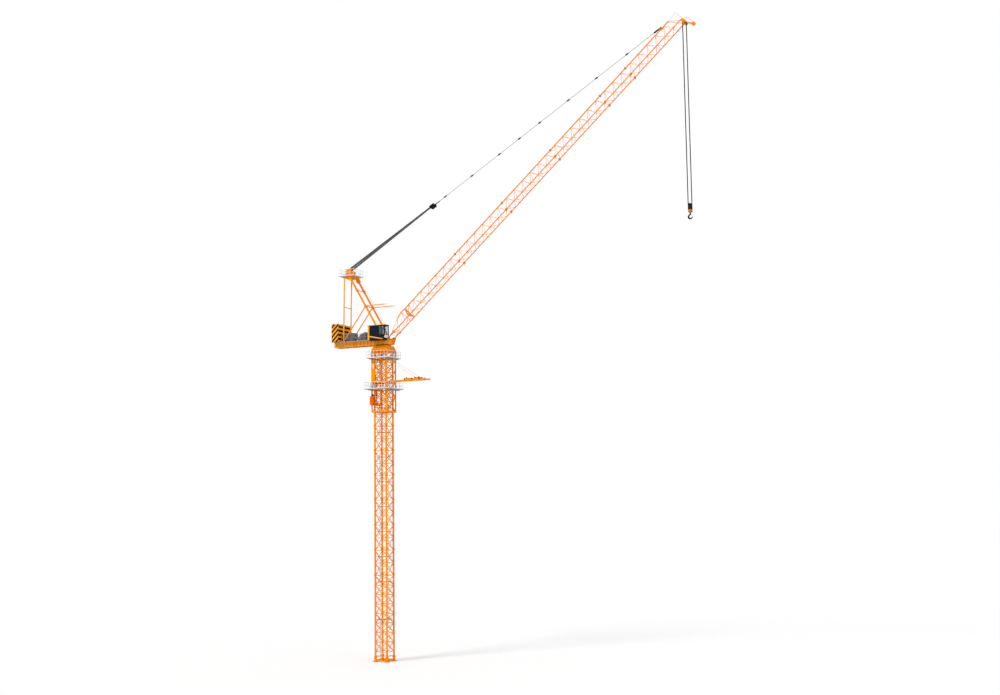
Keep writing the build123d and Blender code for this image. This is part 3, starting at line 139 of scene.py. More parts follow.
# Frames of the whole crane, of the jib from its heel, and of the luffing line from the A-frame's head.
CRANE = Frame(np.zeros(3), np.eye(3))
JIB_RISE = math.radians(41.0)
JIB = leaning((141, 0, 4720), np.array((math.cos(JIB_RISE), 0.0, math.sin(JIB_RISE))))
LINE = leaning((-574, 0, 5796), np.array((0.864626, 0.0, 0.502416)))


def linear(red: int, green: int, blue: int) -> Colour:
    """Turns an 8-bit display colour into linear light.

    Args:
        red: Red from 0 to 255.
        green: Green from 0 to 255.
        blue: Blue from 0 to 255.

    Returns:
        The three linear values.
    """
    part = np.array((red, green, blue), float) / 255.0
    bent = np.where(part <= 0.04045, part / 12.92, ((part + 0.055) / 1.055) ** 2.4)
    return tuple(float(value) for value in bent)


def lattice(*values: object) -> np.ndarray:
    """Every combination of the given values, one to a row.

    Args:
        values: One number or sequence of numbers for each column.

    Returns:
        The rows.
    """
    columns = [np.atleast_1d(value) for value in values]
    return np.stack(np.meshgrid(*columns, indexing="ij"), -1).reshape(-1, len(values)).astype(float)


def rings(rows: int, sides: int) -> list[np.ndarray]:
    """Faces of a closed tube of rings, with a face over each end.

    Args:
        rows: Count of rings.
        sides: Points on each ring.

    Returns:
        The side faces and the two end faces.
    """
    index = np.arange(rows * sides).reshape(rows, sides)
    beside = np.roll(index, -1, 1)
    sheet = np.stack((index[:-1], beside[:-1], beside[1:], index[1:]), -1).reshape(-1, 4)
    return [sheet, np.array((index[0][::-1], index[-1]))]


def circle(sides: int) -> np.ndarray:
    """Angles of evenly spaced points on a ring.

    Args:
        sides: Count of points.

    Returns:
        The angles in radians.
    """
    return np.arange(sides) * math.tau / sides


def block(low: Row, high: Row, edge: float = 0.7) -> Form:
    """Box with chamfered edges: each corner is three points, one on each face, set in by the chamfer.

    Args:
        low: Lowest corner in millimetres.
        high: Highest corner in millimetres.
        edge: Width of the chamfer.

    Returns:
        The form, with each face turned away from its middle.
    """
    first, last = np.minimum(low, high).astype(float), np.maximum(low, high).astype(float)
    cut = min(edge, float((last - first).min()) / 3.0)
    corners = lattice((0, 1), (0, 1), (0, 1))
    outer = first + corners * (last - first)
    points = np.repeat((outer + (1.0 - 2.0 * corners) * cut)[:, None], 3, 1)
    points[:, range(3), range(3)] = outer
    points = points.reshape(-1, 3)
    steps = np.array((4, 2, 1)) * 3
    quads = []
    for axis in range(3):
        after, beyond = (axis + 1) % 3, (axis + 2) % 3
        ring = np.array(((0, 0), (1, 0), (1, 1), (0, 1))) @ steps[[after, beyond]]
        quads += [ring + side * steps[axis] + axis for side in (0, 1)]
        for side, other in ((0, 0), (0, 1), (1, 0), (1, 1)):
            start = side * steps[axis] + other * steps[after]
            end = start + steps[beyond]
            quads.append(np.array((start + axis, end + axis, end + after, start + after)))
    faces = []
    for group in (np.array(quads), np.arange(24).reshape(8, 3)):
        ends = points[group]
        normal = np.cross(ends[:, 1] - ends[:, 0], ends[:, 2] - ends[:, 0])
        inward = ((ends.mean(1) - points.mean(0)) * normal).sum(1) < 0.0
        faces.append(np.where(inward[:, None], group[:, ::-1], group))
    return points, faces


def basis(direction: Facing | Row) -> np.ndarray:
    """Three square directions, the last of them along the given one.

    Args:
        direction: Direction to follow.

    Returns:
        The directions as rows.
    """
    axis = np.array(direction.value if isinstance(direction, Facing) else direction, float)
    axis /= np.linalg.norm(axis)
    first = np.cross(axis, np.eye(3)[np.abs(axis).argmin()])
    first /= np.linalg.norm(first)
    return np.array((first, np.cross(axis, first), axis))


def turned(profile: Profile, start: Row, direction: Facing | Row, sides: int = 16) -> Form:
    """Lathe form: each profile row is a distance along the axis and a radius there.

    Args:
        profile: Rows of distance and radius in millimetres.
        start: Point on the axis at distance zero.
        direction: Direction of the axis.
        sides: Points on each ring.

    Returns:
        The form.
    """
    rows = np.array(profile, float)
    axes, angle = basis(direction), circle(sides)
    ring = np.cos(angle)[:, None] * axes[0] + np.sin(angle)[:, None] * axes[1]
    points = np.array(start, float) + rows[:, 0, None, None] * axes[2] + rows[:, 1, None, None] * ring
    return points.reshape(-1, 3), rings(len(rows), sides)


def rod(start: Row, end: Row, radius: float, sides: int = 10) -> Form:
    """Round bar with a small chamfer at both ends.

    Args:
        start: Centre of one end.
        end: Centre of the other end.
        radius: Radius of the bar.
        sides: Points on each ring.

    Returns:
        The form.
    """
    run = np.array(end, float) - np.array(start, float)
    length, cut = float(np.linalg.norm(run)), radius * 0.25
    profile = ((0.0, radius - cut), (cut, radius), (length - cut, radius), (length, radius - cut))
    return turned(profile, start, tuple(run), sides)


def swept(path: np.ndarray, radius: object, sides: int = 8, lobes: int = 0, lay: float = 1.0) -> Form:
    """Round section carried along a path, with lobes that turn round it for a laid rope.

    The radius at angle a and distance d is the given one times
    0.88 + 0.12 |cos(lobes (a - tau d / lay) / 2)|.

    Args:
        path: Points of the path in millimetres.
        radius: One radius, or one for each point.
        sides: Points on each ring.
        lobes: Strands round the section, or 0 for a plain round.
        lay: Length in which a strand goes once round.

    Returns:
        The form.
    """
    line = np.asarray(path, float)
    run = np.gradient(line, axis=0)
    run /= np.linalg.norm(run, axis=1)[:, None]
    first = np.cross(run, np.eye(3)[np.abs(run).mean(0).argmin()])
    first /= np.linalg.norm(first, axis=1)[:, None]
    second = np.cross(run, first)
    angle = circle(sides)
    reach = np.broadcast_to(np.asarray(radius, float), (len(line),))[:, None] * np.ones(sides)
    if lobes:
        gone = np.concatenate(((0.0,), np.linalg.norm(np.diff(line, axis=0), axis=1).cumsum()))
        phase = lobes / 2.0 * (angle[None] - math.tau * gone[:, None] / lay)
        reach = reach * (0.88 + 0.12 * np.abs(np.cos(phase)))
    ring = np.cos(angle)[None, :, None] * first[:, None] + np.sin(angle)[None, :, None] * second[:, None]
    points = line[:, None] + reach[:, :, None] * ring
    return points.reshape(-1, 3), rings(len(line), sides)


def laid(path: np.ndarray, radius: float) -> Form:
    """Laid wire rope along a path.

    Args:
        path: Points of the path in millimetres.
        radius: Radius of the rope.

    Returns:
        The form.
    """
    return swept(path, radius, ROPE_SIDES, ROPE_STRANDS, ROPE_LAY)


def slab(outline: object, low: float, high: float) -> Form:
    """Flat outline in the first two axes, with thickness along the third.

    Args:
        outline: Corners of the outline in order.
        low: Lower face on the third axis.
        high: Upper face on the third axis.

    Returns:
        The form.
    """
    flat = np.array(outline, float)
    points = np.stack([np.column_stack((flat, np.full(len(flat), level))) for level in (low, high)])
    return points.reshape(-1, 3), rings(2, len(flat))


def bend(*points: Row, count: int = 36) -> np.ndarray:
    """Cubic curve between two ends, pulled by two more control points, as a row of places.

    At a share t of the way the points weigh (1 - t)^3, 3 t (1 - t)^2, 3 t^2 (1 - t) and t^3.

    Args:
        points: The four control points.
        count: Places on the curve.

    Returns:
        The places.
    """
    part = np.linspace(0.0, 1.0, count)[:, None]
    weight = ((1 - part) ** 3, 3 * part * (1 - part) ** 2, 3 * part**2 * (1 - part), part**3)
    return sum(share * np.array(point, float) for share, point in zip(weight, points))


def finned(start: float, end: float, pitch: float, low: float, high: float) -> Profile:
    """Profile of cooling fins or folds: the radius changes at every half pitch.

    Args:
        start: Distance of the first row.
        end: Distance that no row reaches.
        pitch: Distance between rows.
        low: Radius of even rows.
        high: Radius of odd rows.

    Returns:
        The rows of distance and radius.
    """
    places = np.arange(start, end, pitch)
    return tuple((value, high if index % 2 else low) for index, value in enumerate(places))


def grooved(*half: tuple[float, float]) -> Profile:
    """Profile of a rope groove that is the same on both sides of its middle.

    Args:
        half: Distance from the middle and radius of each row, from the rim to the middle.

    Returns:
        The rows of distance and radius.
    """
    return tuple((-place, radius) for place, radius in half) + half[-2::-1]


def copied(form: Form, places: np.ndarray) -> Form:
    """Copies of a form, one at each place.

    Args:
        form: Points and faces.
        places: Offsets of the copies.

    Returns:
        The form with one layer of points for each copy.
    """
    return form[0][None] + np.asarray(places, float)[:, None], form[1]


def quarter_turns() -> list[np.ndarray]:
    """Axes of a plate that stands upright on each of the four sides of the mast.

    Returns:
        For each side, the outward direction, up, and the direction across.
    """
    turns = ((1, 0), (-1, 0), (0, 1), (0, -1))
    return [np.array(((turn_x, turn_y, 0), (0, 0, 1), (turn_y, -turn_x, 0))) for turn_x, turn_y in turns]


@dataclass(frozen=True)
class Finish:
    """One of the crane's finishes.

    Attributes:
        material: Blender material.
        slot: The record's material slot; not used.
    """

    material: bpy.types.Material
    slot: str


# Washer, head and thread end of a bolt: profile in half widths of the head, and count of sides.
BOLT_TURNS = (
    (((0.0, 1.3), (0.2, 1.3), (0.28, 1.2)), 14),
    (((0.28, 1.0), (0.85, 1.0), (1.0, 0.86)), 6),
    (((1.0, 0.5), (1.5, 0.5), (1.6, 0.42)), 8),
)


class Shape:
    """Growing mesh in millimetres that becomes one piece."""

    def __init__(self, frame: Frame = CRANE) -> None:
        """Starts with no points and no faces.

        Args:
            frame: Frame that the forms are given in.
        """
        self.frame = frame
        self.points: list[np.ndarray] = []
        self.faces: list[list[int]] = []
        self.total = 0

    def add(self, form: Form, places: np.ndarray | None = None, frame: Frame | None = None) -> "Shape":
        """Adds a closed form, or all the copies that it holds, with its faces outwards.

        The signed volume is a sixth of the sum, over fans of the faces, of the corners' triple products,
        and a form whose volume comes out below zero has its faces turned.

        Args:
            form: Points and faces.
            places: Offsets of copies, or None for the form alone.
            frame: Frame of this form, or None for the shape's own.

        Returns:
            The shape itself.
        """
        points, groups = form if places is None else copied(form, places)
        points = (frame or self.frame).place(points)
        stack = points.reshape(-1, points.shape[-2], 3)
        starts = self.total + np.arange(len(stack)) * stack.shape[1]
        first = stack[0] - stack[0].mean(0)
        volume = sum(
            float((np.cross(first[group[:, 1:-1]], first[group[:, 2:]]) * first[group[:, :1]]).sum())
            for group in groups
        )
        for group in groups:
            rows = (group[:, ::-1] if volume < 0.0 else group)[None] + starts[:, None, None]
            self.faces += rows.reshape(-1, rows.shape[-1]).tolist()
        self.points.append(stack.reshape(-1, 3))
        self.total += stack.shape[0] * stack.shape[1]
        return self

    def blocks(self, *rows: Row, places: np.ndarray | None = None, frame: Frame | None = None) -> "Shape":
        """Adds chamfered boxes.

        Args:
            rows: Lowest corner, highest corner and chamfer of each box.
            places: Offsets of copies of each.
            frame: Frame of these boxes, or None for the shape's own.

        Returns:
            The shape itself.
        """
        for row in rows:
            self.add(block(row[:3], row[3:6], *row[6:]), places, frame)
        return self

    def rods(self, *rows: Row, places: np.ndarray | None = None, frame: Frame | None = None) -> "Shape":
        """Adds round bars.

        Args:
            rows: Both ends, radius and, where it isn't 10, count of sides of each bar.
            places: Offsets of copies of each.
            frame: Frame of these bars, or None for the shape's own.

        Returns:
            The shape itself.
        """
        for row in rows:
            self.add(rod(row[:3], row[3:6], *row[6:]), places, frame)
        return self

    def lathe(
        self,
        profile: Profile,
        start: Row,
        facing: Facing | Row,
        sides: int,
        places: np.ndarray | None = None,
    ) -> "Shape":
        """Adds a round form."""
        return self.add(turned(profile, start, facing, sides), places)

    def bolts(self, places: np.ndarray, facing: Facing | Row, size: float) -> "Shape":
        """Adds hexagon bolts with washers and thread ends.

        Args:
            places: Seats of the bolts in the shape's frame.
            facing: Direction that the heads look in, in the crane's frame.
            size: Half the width of a head.

        Returns:
            The shape itself.
        """
        for profile, sides in BOLT_TURNS:
            self.add(turned(np.array(profile) * size, ZERO, facing, sides), self.frame.place(places), CRANE)
        return self

    def piece(self, name: str, finish: Finish, body: str, smooth: float = 40.0) -> bpy.types.Object:
        """Makes the object and lets it ride on a body.

        Args:
            name: Name of the piece.
            finish: Its finish.
            body: Body that carries it, or nothing for a piece that rides on no body.
            smooth: Edges that turn by more than this many degrees stay sharp.

        Returns:
            The piece.
        """
        mesh = bpy.data.meshes.new(name)
        mesh.from_pydata((np.concatenate(self.points) * MILLIMETRE).tolist(), [], self.faces)
        mesh.polygons.foreach_set("use_smooth", np.ones(len(mesh.polygons), bool))
        mesh.set_sharp_from_angle(angle=math.radians(smooth))
        mesh.materials.append(finish.material)
        made = bpy.data.objects.new(name, mesh)
        bpy.context.scene.collection.objects.link(made)
        if body:
            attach(made, body)
        LOG.info("%s: %d faces", name, len(mesh.polygons))
        return made


class Wiring:
    """Short hand for wiring a node tree."""

    def __init__(self, tree: bpy.types.NodeTree) -> None:
        """Keeps the tree."""
        self.tree = tree

    def node(self, kind: str, **values: object) -> bpy.types.Node:
        """Adds a node and sets its properties.

        Args:
            kind: Blender's name of the node type.
            values: Properties to set on it.

        Returns:
            The new node.
        """
        made = self.tree.nodes.new(kind)
        for key, value in values.items():
            setattr(made, key, value)
        return made

    def feed(self, target: Socket, value: object) -> None:
        """Joins a socket to another, or gives it a number or a colour.

        Args:
            target: Socket that takes the value.
            value: Socket, number, vector or linear colour.
        """
        if isinstance(value, Socket):
            self.tree.links.new(value, target)
        elif target.type == "RGBA":
            target.default_value = (*value, 1.0)
        else:
            target.default_value = value

    def ramp(self, value: Socket, low: float, high: float, start: float, end: float) -> Socket:
        """Straight line between two values.

        Args:
            value: Input value.
            low: Input that gives start.
            high: Input that gives end.
            start: Output at low.
            end: Output at high.

        Returns:
            The clamped output.
        """
        made = self.node("ShaderNodeMapRange")
        for name, number in (("From Min", low), ("From Max", high), ("To Min", start), ("To Max", end)):
            self.feed(made.inputs[name], number)
        self.feed(made.inputs["Value"], value)
        return made.outputs["Result"]

    def sum_of(self, operation: str, first: object, second: object = 0.0) -> Socket:
        """One step of arithmetic.

        Args:
            operation: Blender's name of the operation.
            first: Number or socket.
            second: Number or socket.

        Returns:
            The result.
        """
        made = self.node("ShaderNodeMath", operation=operation)
        for slot, value in enumerate((first, second)):
            self.feed(made.inputs[slot], value)
        return made.outputs[0]


class Nodes(Wiring):
    """Short hand for wiring one material."""

    def __init__(self, name: str) -> None:
        """Makes an empty material with its shader and object coordinates.

        Args:
            name: Name of the material.
        """
        self.material = bpy.data.materials.new(name)
        self.material.use_nodes = True
        super().__init__(self.material.node_tree)
        self.shader = self.tree.nodes["Principled BSDF"]
        self.place = self.node("ShaderNodeTexCoord")

    def put(self, name: str, value: object) -> None:
        """Gives one of the shader's own sockets its value."""
        self.feed(self.shader.inputs[name], value)

    def parts(self, output: str = "Object") -> bpy.types.NodeOutputs:
        """The three parts of a place or a normal.

        Args:
            output: Object for the place in metres, Normal for the surface's direction.

        Returns:
            Sockets by the names X, Y and Z.
        """
        split = self.node("ShaderNodeSeparateXYZ")
        self.feed(split.inputs[0], self.place.outputs[output])
        return split.outputs

    def stretched(self, scale: Point) -> Socket:
        """Object coordinates multiplied by a scale along each axis.

        Args:
            scale: Factor on X, Y and Z.

        Returns:
            The scaled vector.
        """
        mapping = self.node("ShaderNodeMapping")
        self.feed(mapping.inputs["Scale"], scale)
        self.feed(mapping.inputs["Vector"], self.place.outputs["Object"])
        return mapping.outputs["Vector"]

    def noise(self, across: float, up: float, detail: float = 4.0) -> Socket:
        """Soft noise in object space.

        Args:
            across: Cycles per metre along both level axes.
            up: Cycles per metre upwards.
            detail: Octaves.

        Returns:
            The noise value from 0 to 1.
        """
        made = self.node("ShaderNodeTexNoise")
        self.feed(made.inputs["Scale"], 1.0)
        self.feed(made.inputs["Detail"], detail)
        self.feed(made.inputs["Vector"], self.stretched((across, across, up)))
        return made.outputs["Fac"]

    def repeat(self, value: object, period: float) -> Socket:
        """How far a value is through its period."""
        return self.sum_of("FRACT", self.sum_of("DIVIDE", value, period))

    def mix(
        self,
        share: Socket,
        first: Colour | Socket,
        second: Colour | Socket,
        way: str = "MIX",
    ) -> Socket:
        """Blend of two colours.

        Args:
            share: How much of the second colour shows.
            first: Colour or socket at share 0.
            second: Colour or socket at share 1.
            way: Blender's name of the blend.

        Returns:
            The mixed colour.
        """
        made = self.node("ShaderNodeMix", data_type="RGBA", blend_type=way)
        self.feed(made.inputs["Factor"], share)
        sockets = [entry for entry in made.inputs if entry.type == "RGBA"]
        for socket, colour in zip(sockets, (first, second)):
            self.feed(socket, colour)
        return [entry for entry in made.outputs if entry.type == "RGBA"][0]

    def bump(self, height: Socket, depth: float, strength: float) -> None:
        """Sends a height to the shader's normal.

        Args:
            height: Height from 0 to 1.
            depth: Real depth in metres.
            strength: Share of the effect.
        """
        made = self.node("ShaderNodeBump")
        self.feed(made.inputs["Distance"], depth)
        self.feed(made.inputs["Strength"], strength)
        self.feed(made.inputs["Height"], height)
        self.put("Normal", made.outputs["Normal"])


@dataclass(frozen=True)
class Look:
    """What every material has.

    Attributes:
        name: Material name.
        colour: Linear colour of the clean surface.
    """

    name: str
    colour: Colour

    def wire(self, nodes: Nodes) -> None:
        """Wires the material."""
        raise NotImplementedError

    def build(self) -> bpy.types.Material:
        """Makes and wires the material.

        Returns:
            The finished material.
        """
        nodes = Nodes(self.name)
        self.wire(nodes)
        return nodes.material


# What mottling and streaks multiply the paint's colour by.
FADED = (0.94, 0.94, 0.94)
DIRTY = (0.7, 0.7, 0.7)


@dataclass(frozen=True)
class Paint(Look):
    """Sprayed paint on steel with faint mottling, rain streaks and dusty rougher spots.

    Attributes:
        roughness: Roughness of clean paint.
        streak: Strength of the upright streaks.
        gloss: Strength of the mirror-like part.
    """

    roughness: float = 0.42
    streak: float = 0.10
    gloss: float = 0.04

    def body(self, nodes: Nodes) -> Colour | Socket:
        """Colour of the clean paint."""
        return self.colour

    def wire(self, nodes: Nodes) -> None:
        """Lays mottling and streaks over the clean colour, by multiplying, and varies the roughness.

        Args:
            nodes: The material's wiring.
        """
        body = self.body(nodes)
        streaks = nodes.noise(60.0, 6.0, 5.0)
        mottle = nodes.ramp(nodes.noise(7.0, 4.0, 3.0), 0.35, 0.7, 0.0, 1.0)
        faded = nodes.mix(mottle, body, FADED, "MULTIPLY")
        share = nodes.ramp(streaks, 0.55, 0.8, 0.0, self.streak * 4.0)
        nodes.put("Base Color", nodes.mix(share, faded, DIRTY, "MULTIPLY"))
        rough = nodes.ramp(streaks, 0.3, 0.8, self.roughness - 0.06, self.roughness + 0.16)
        nodes.put("Roughness", rough)
        nodes.put("Specular IOR Level", self.gloss)
        nodes.bump(nodes.noise(420.0, 420.0, 2.0), 0.0002, 0.5)


@dataclass(frozen=True)
class BandedPaint(Paint):
    """Paint with a second colour in level bands that come again at every section.

    Attributes:
        band: Colour inside the bands.
        first: Height of the lowest band in metres.
        period: Distance from one band to the next.
        thickness: Height of a band.
        lone: Height of one more band outside the row.
    """

    band: Colour = (0.2, 0.2, 0.2)
    first: float = 1.13825
    period: float = 0.363
    thickness: float = 0.0045
    lone: float = 0.6

    def body(self, nodes: Nodes) -> Socket:
        """Bands over the plain colour.

        Args:
            nodes: The material's wiring.

        Returns:
            The socket of the pattern.
        """
        height, half = nodes.parts()["Z"], self.thickness / 2.0
        gone = nodes.sum_of("DIVIDE", nodes.sum_of("SUBTRACT", height, self.first - 0.0002), self.period)
        row = nodes.sum_of("LESS_THAN", nodes.sum_of("FRACT", gone), self.thickness / self.period)
        row = nodes.sum_of("MULTIPLY", row, nodes.sum_of("GREATER_THAN", gone, -0.001))
        off = nodes.sum_of("ABSOLUTE", nodes.sum_of("SUBTRACT", height, self.lone + half))
        alone = nodes.sum_of("LESS_THAN", off, half)
        return nodes.mix(nodes.sum_of("MAXIMUM", row, alone), self.colour, self.band)


@dataclass(frozen=True)
class ToppedPaint(Paint):
    """Paint that gives way to another colour above a level.

    Attributes:
        top: Colour above the level.
        level: Height of the change in metres.
    """

    top: Colour = (0.0, 0.0, 0.0)
    level: float = 0.0

    def body(self, nodes: Nodes) -> Socket:
        """Both colours, one over the other."""
        over = nodes.sum_of("GREATER_THAN", nodes.parts()["Z"], self.level)
        return nodes.mix(over, self.colour, self.top)


@dataclass(frozen=True)
class HazardPaint(Paint):
    """Warning paint of the counterweight: slanting stripes on its sides, level bars on its ends.

    Attributes:
        dark: Dark blue-black between the amber stripes.
        side_period: Length of a dark and a light stripe together along the side.
        end_period: Height of a dark and a light bar together on the ends.
    """

    dark: Colour = (0.0, 0.0, 0.0)
    side_period: float = 0.074
    end_period: float = 0.061

    def body(self, nodes: Nodes) -> Socket:
        """Stripes on faces that look across the crane, bars on the rest.

        Args:
            nodes: The material's wiring.

        Returns:
            The socket of the pattern.
        """
        place, normal = nodes.parts(), nodes.parts("Normal")
        side = nodes.repeat(nodes.sum_of("SUBTRACT", place["X"], place["Z"]), self.side_period)
        level = nodes.repeat(place["Z"], self.end_period)
        on_side = nodes.sum_of("GREATER_THAN", nodes.sum_of("ABSOLUTE", normal["Y"]), 0.5)
        chosen = nodes.node("ShaderNodeMix", data_type="FLOAT")
        nodes.feed(chosen.inputs["Factor"], on_side)
        nodes.feed(chosen.inputs[2], nodes.sum_of("GREATER_THAN", level, 0.5))
        nodes.feed(chosen.inputs[3], nodes.sum_of("GREATER_THAN", side, 0.5))
        return nodes.mix(chosen.outputs[0], self.colour, self.dark)


@dataclass(frozen=True)
class Zinc(Look):
    """Hot-dipped steel with large soft crystals, and a grating below a level where it has one.

    Attributes:
        floor: Linear colour of the grating.
        level: Height in metres below which the grating shows, or 0 for none.
        pitch: Distance between the bars of the grating.
    """

    floor: Colour = (0.2, 0.2, 0.2)
    level: float = 0.0
    pitch: float = 0.006

    def wire(self, nodes: Nodes) -> None:
        """Wires crystals and, where it has one, the grating.

        Args:
            nodes: The material's wiring.
        """
        cells = nodes.node("ShaderNodeTexVoronoi")
        nodes.feed(cells.inputs["Scale"], 1.0)
        nodes.feed(cells.inputs["Vector"], nodes.stretched((110.0, 110.0, 110.0)))
        crystal = nodes.ramp(cells.outputs["Distance"], 0.0, 1.0, 0.0, 1.0)
        surface = nodes.mix(crystal, self.colour, tuple(min(1.0, value * 1.15) for value in self.colour))
        nodes.put("Metallic", 0.1)
        nodes.put("Specular IOR Level", 0.2)
        nodes.put("Roughness", nodes.ramp(nodes.noise(40.0, 40.0), 0.3, 0.7, 0.45, 0.62))
        relief = crystal
        if self.level:
            place = nodes.parts()
            open_x = nodes.sum_of("GREATER_THAN", nodes.repeat(place["X"], self.pitch), 0.35)
            open_y = nodes.sum_of("GREATER_THAN", nodes.repeat(place["Y"], self.pitch * 3.0), 0.12)
            gap = nodes.sum_of("MULTIPLY", open_x, open_y)
            grid = nodes.mix(gap, self.floor, tuple(value * 0.6 for value in self.floor))
            under = nodes.sum_of("LESS_THAN", place["Z"], self.level)
            surface = nodes.mix(under, surface, grid)
            relief = nodes.sum_of("SUBTRACT", 1.0, nodes.sum_of("MULTIPLY", gap, under))
        nodes.put("Base Color", surface)
        nodes.bump(relief, 0.0006, 0.4)


@dataclass(frozen=True)
class Pane(Look):
    """Tinted cab glass."""

    def wire(self, nodes: Nodes) -> None:
        """Wires clear glass with slight smears and waves.

        Args:
            nodes: The material's wiring.
        """
        nodes.put("Base Color", self.colour)
        nodes.put("Roughness", nodes.ramp(nodes.noise(30.0, 12.0), 0.3, 0.8, 0.02, 0.06))
        nodes.put("Transmission Weight", 0.92)
        nodes.put("IOR", 1.1)
        nodes.bump(nodes.noise(9.0, 9.0, 2.0), 0.0005, 0.15)


@dataclass(frozen=True)
class Cloth(Look):
    """Coarse woven seat cover."""

    def wire(self, nodes: Nodes) -> None:
        """Wires the weave.

        Args:
            nodes: The material's wiring.
        """
        weave = nodes.node("ShaderNodeTexChecker")
        nodes.feed(weave.inputs["Scale"], 900.0)
        nodes.feed(weave.inputs["Vector"], nodes.place.outputs["Object"])
        bright = tuple(value * 1.8 for value in self.colour)
        nodes.put("Base Color", nodes.mix(weave.outputs["Fac"], self.colour, bright))
        nodes.put("Roughness", 0.9)
        nodes.put("Sheen Weight", 0.3)
        nodes.bump(weave.outputs["Fac"], 0.0004, 0.6)


def all_finishes() -> dict[str, Finish]:
    """Builds every finish of the crane once.

    Returns:
        The finishes by the names that the pieces call them.
    """
    grating, rail = linear(190, 190, 196), linear(222, 223, 226)
    orange, zinc, grey, cable = "orange_paint", "galvanised_steel", "winch_grey", "rope_steel"
    # The bands are the rest platforms: the mast's orange paint, darkened so that part of the shade under them
    # is painted in.
    access = BandedPaint("mast_access_zinc", linear(222, 225, 234), 0.5, 0.04, band=linear(206, 112, 8))
    striped = HazardPaint("counterweight_stripes", linear(255, 168, 26), 0.4, 0.08, dark=linear(6, 8, 30))
    two_tone = ToppedPaint("hook_block_brown", linear(214, 128, 46), 0.4, top=linear(40, 40, 44), level=6.139)
    looks = {
        "mast": (orange, Paint("mast_orange", linear(255, 156, 0))),
        "jib": ("jib_orange_paint", Paint("jib_orange", linear(254, 146, 0), 0.4, 0.08)),
        "leg": (orange, Paint("aframe_orange", linear(255, 150, 0), 0.4, 0.08)),
        # The counter-jib's girders carry the mast's orange paint, painted lighter to make up for the shade in
        # their recessed webs: painted light.
        "girder": (orange, Paint("girder_orange_painted_light", linear(255, 172, 50), 0.4)),
        "pale": ("pale_paint", Paint("rear_leg_orange", linear(253, 178, 66), 0.45, 0.06)),
        "lower_deck": (zinc, Zinc("lower_deck_zinc", rail, grating, 3.958)),
        "upper_deck": (zinc, Zinc("upper_deck_zinc", rail, grating, 4.420)),
        "head_deck": (zinc, Zinc("head_deck_zinc", rail, grating, 5.699)),
        "walkway": (zinc, Zinc("walkway_zinc", linear(128, 128, 132), grating, 4.701)),
        "access": (zinc, access),
        "block": (orange, two_tone),
        "rail": (zinc, Zinc("rail_zinc", rail)),
        "plate": (zinc, Zinc("plate_zinc", linear(150, 150, 156))),
        "rope": (cable, Zinc("wire_rope", linear(46, 46, 50))),
        "falls": (cable, Zinc("luffing_wire_rope", linear(96, 96, 100))),
        "drum_rope": (cable, Zinc("drum_rope", linear(176, 186, 200))),
        "dark": ("dark_steel", Paint("dark_steel", linear(50, 52, 58), 0.5, 0.05)),
        "black": ("hook_black", Paint("hook_black", linear(22, 22, 24), 0.45, 0.05)),
        "red": ("red_paint", Paint("ram_red", linear(226, 0, 18), 0.32, 0.05)),
        "unit": ("red_paint", Paint("unit_orange_red", linear(244, 116, 6), 0.35, 0.05)),
        "winch": (grey, Paint("winch_grey", linear(108, 109, 112), 0.45, 0.12)),
        "drum": ("drum_grey", Paint("drum_grey", linear(185, 194, 210), 0.4, 0.06)),
        "hazard": ("hazard_paint", striped),
        "white": (grey, Paint("box_white", linear(222, 224, 228), 0.4, 0.08)),
        "navy": ("cab_navy", Paint("cab_navy", linear(22, 34, 52), 0.35, 0.04)),
        "amber": ("cab_amber", Paint("cab_amber", linear(255, 172, 30), 0.38, 0.04)),
        "pane": ("cab_glass", Pane("cab_pane", (0.8, 0.88, 0.94))),
        # The pane in the cab's nose is opaque pale blue-white paint: a painted reflection of the sky in its
        # glass.
        "nose": ("cab_glass", Paint("nose_glass_painted_reflection", linear(224, 234, 246), 0.12, 0.02, 0.5)),
        "seat": ("seat_fabric", Cloth("seat_cloth", (0.015, 0.015, 0.018))),
        "rubber": ("dark_steel", Paint("black_rubber", linear(26, 27, 30), 0.7, 0.02)),
    }
    return {key: Finish(look.build(), slot) for key, (slot, look) in looks.items()}


@dataclass
class Dressing:
    """Fine pieces of one sub-assembly.

    Attributes:
        finishes: The crane's finishes by name.
    """

    finishes: dict[str, Finish]

    def build(self) -> None:
        """Makes the pieces."""
        raise NotImplementedError


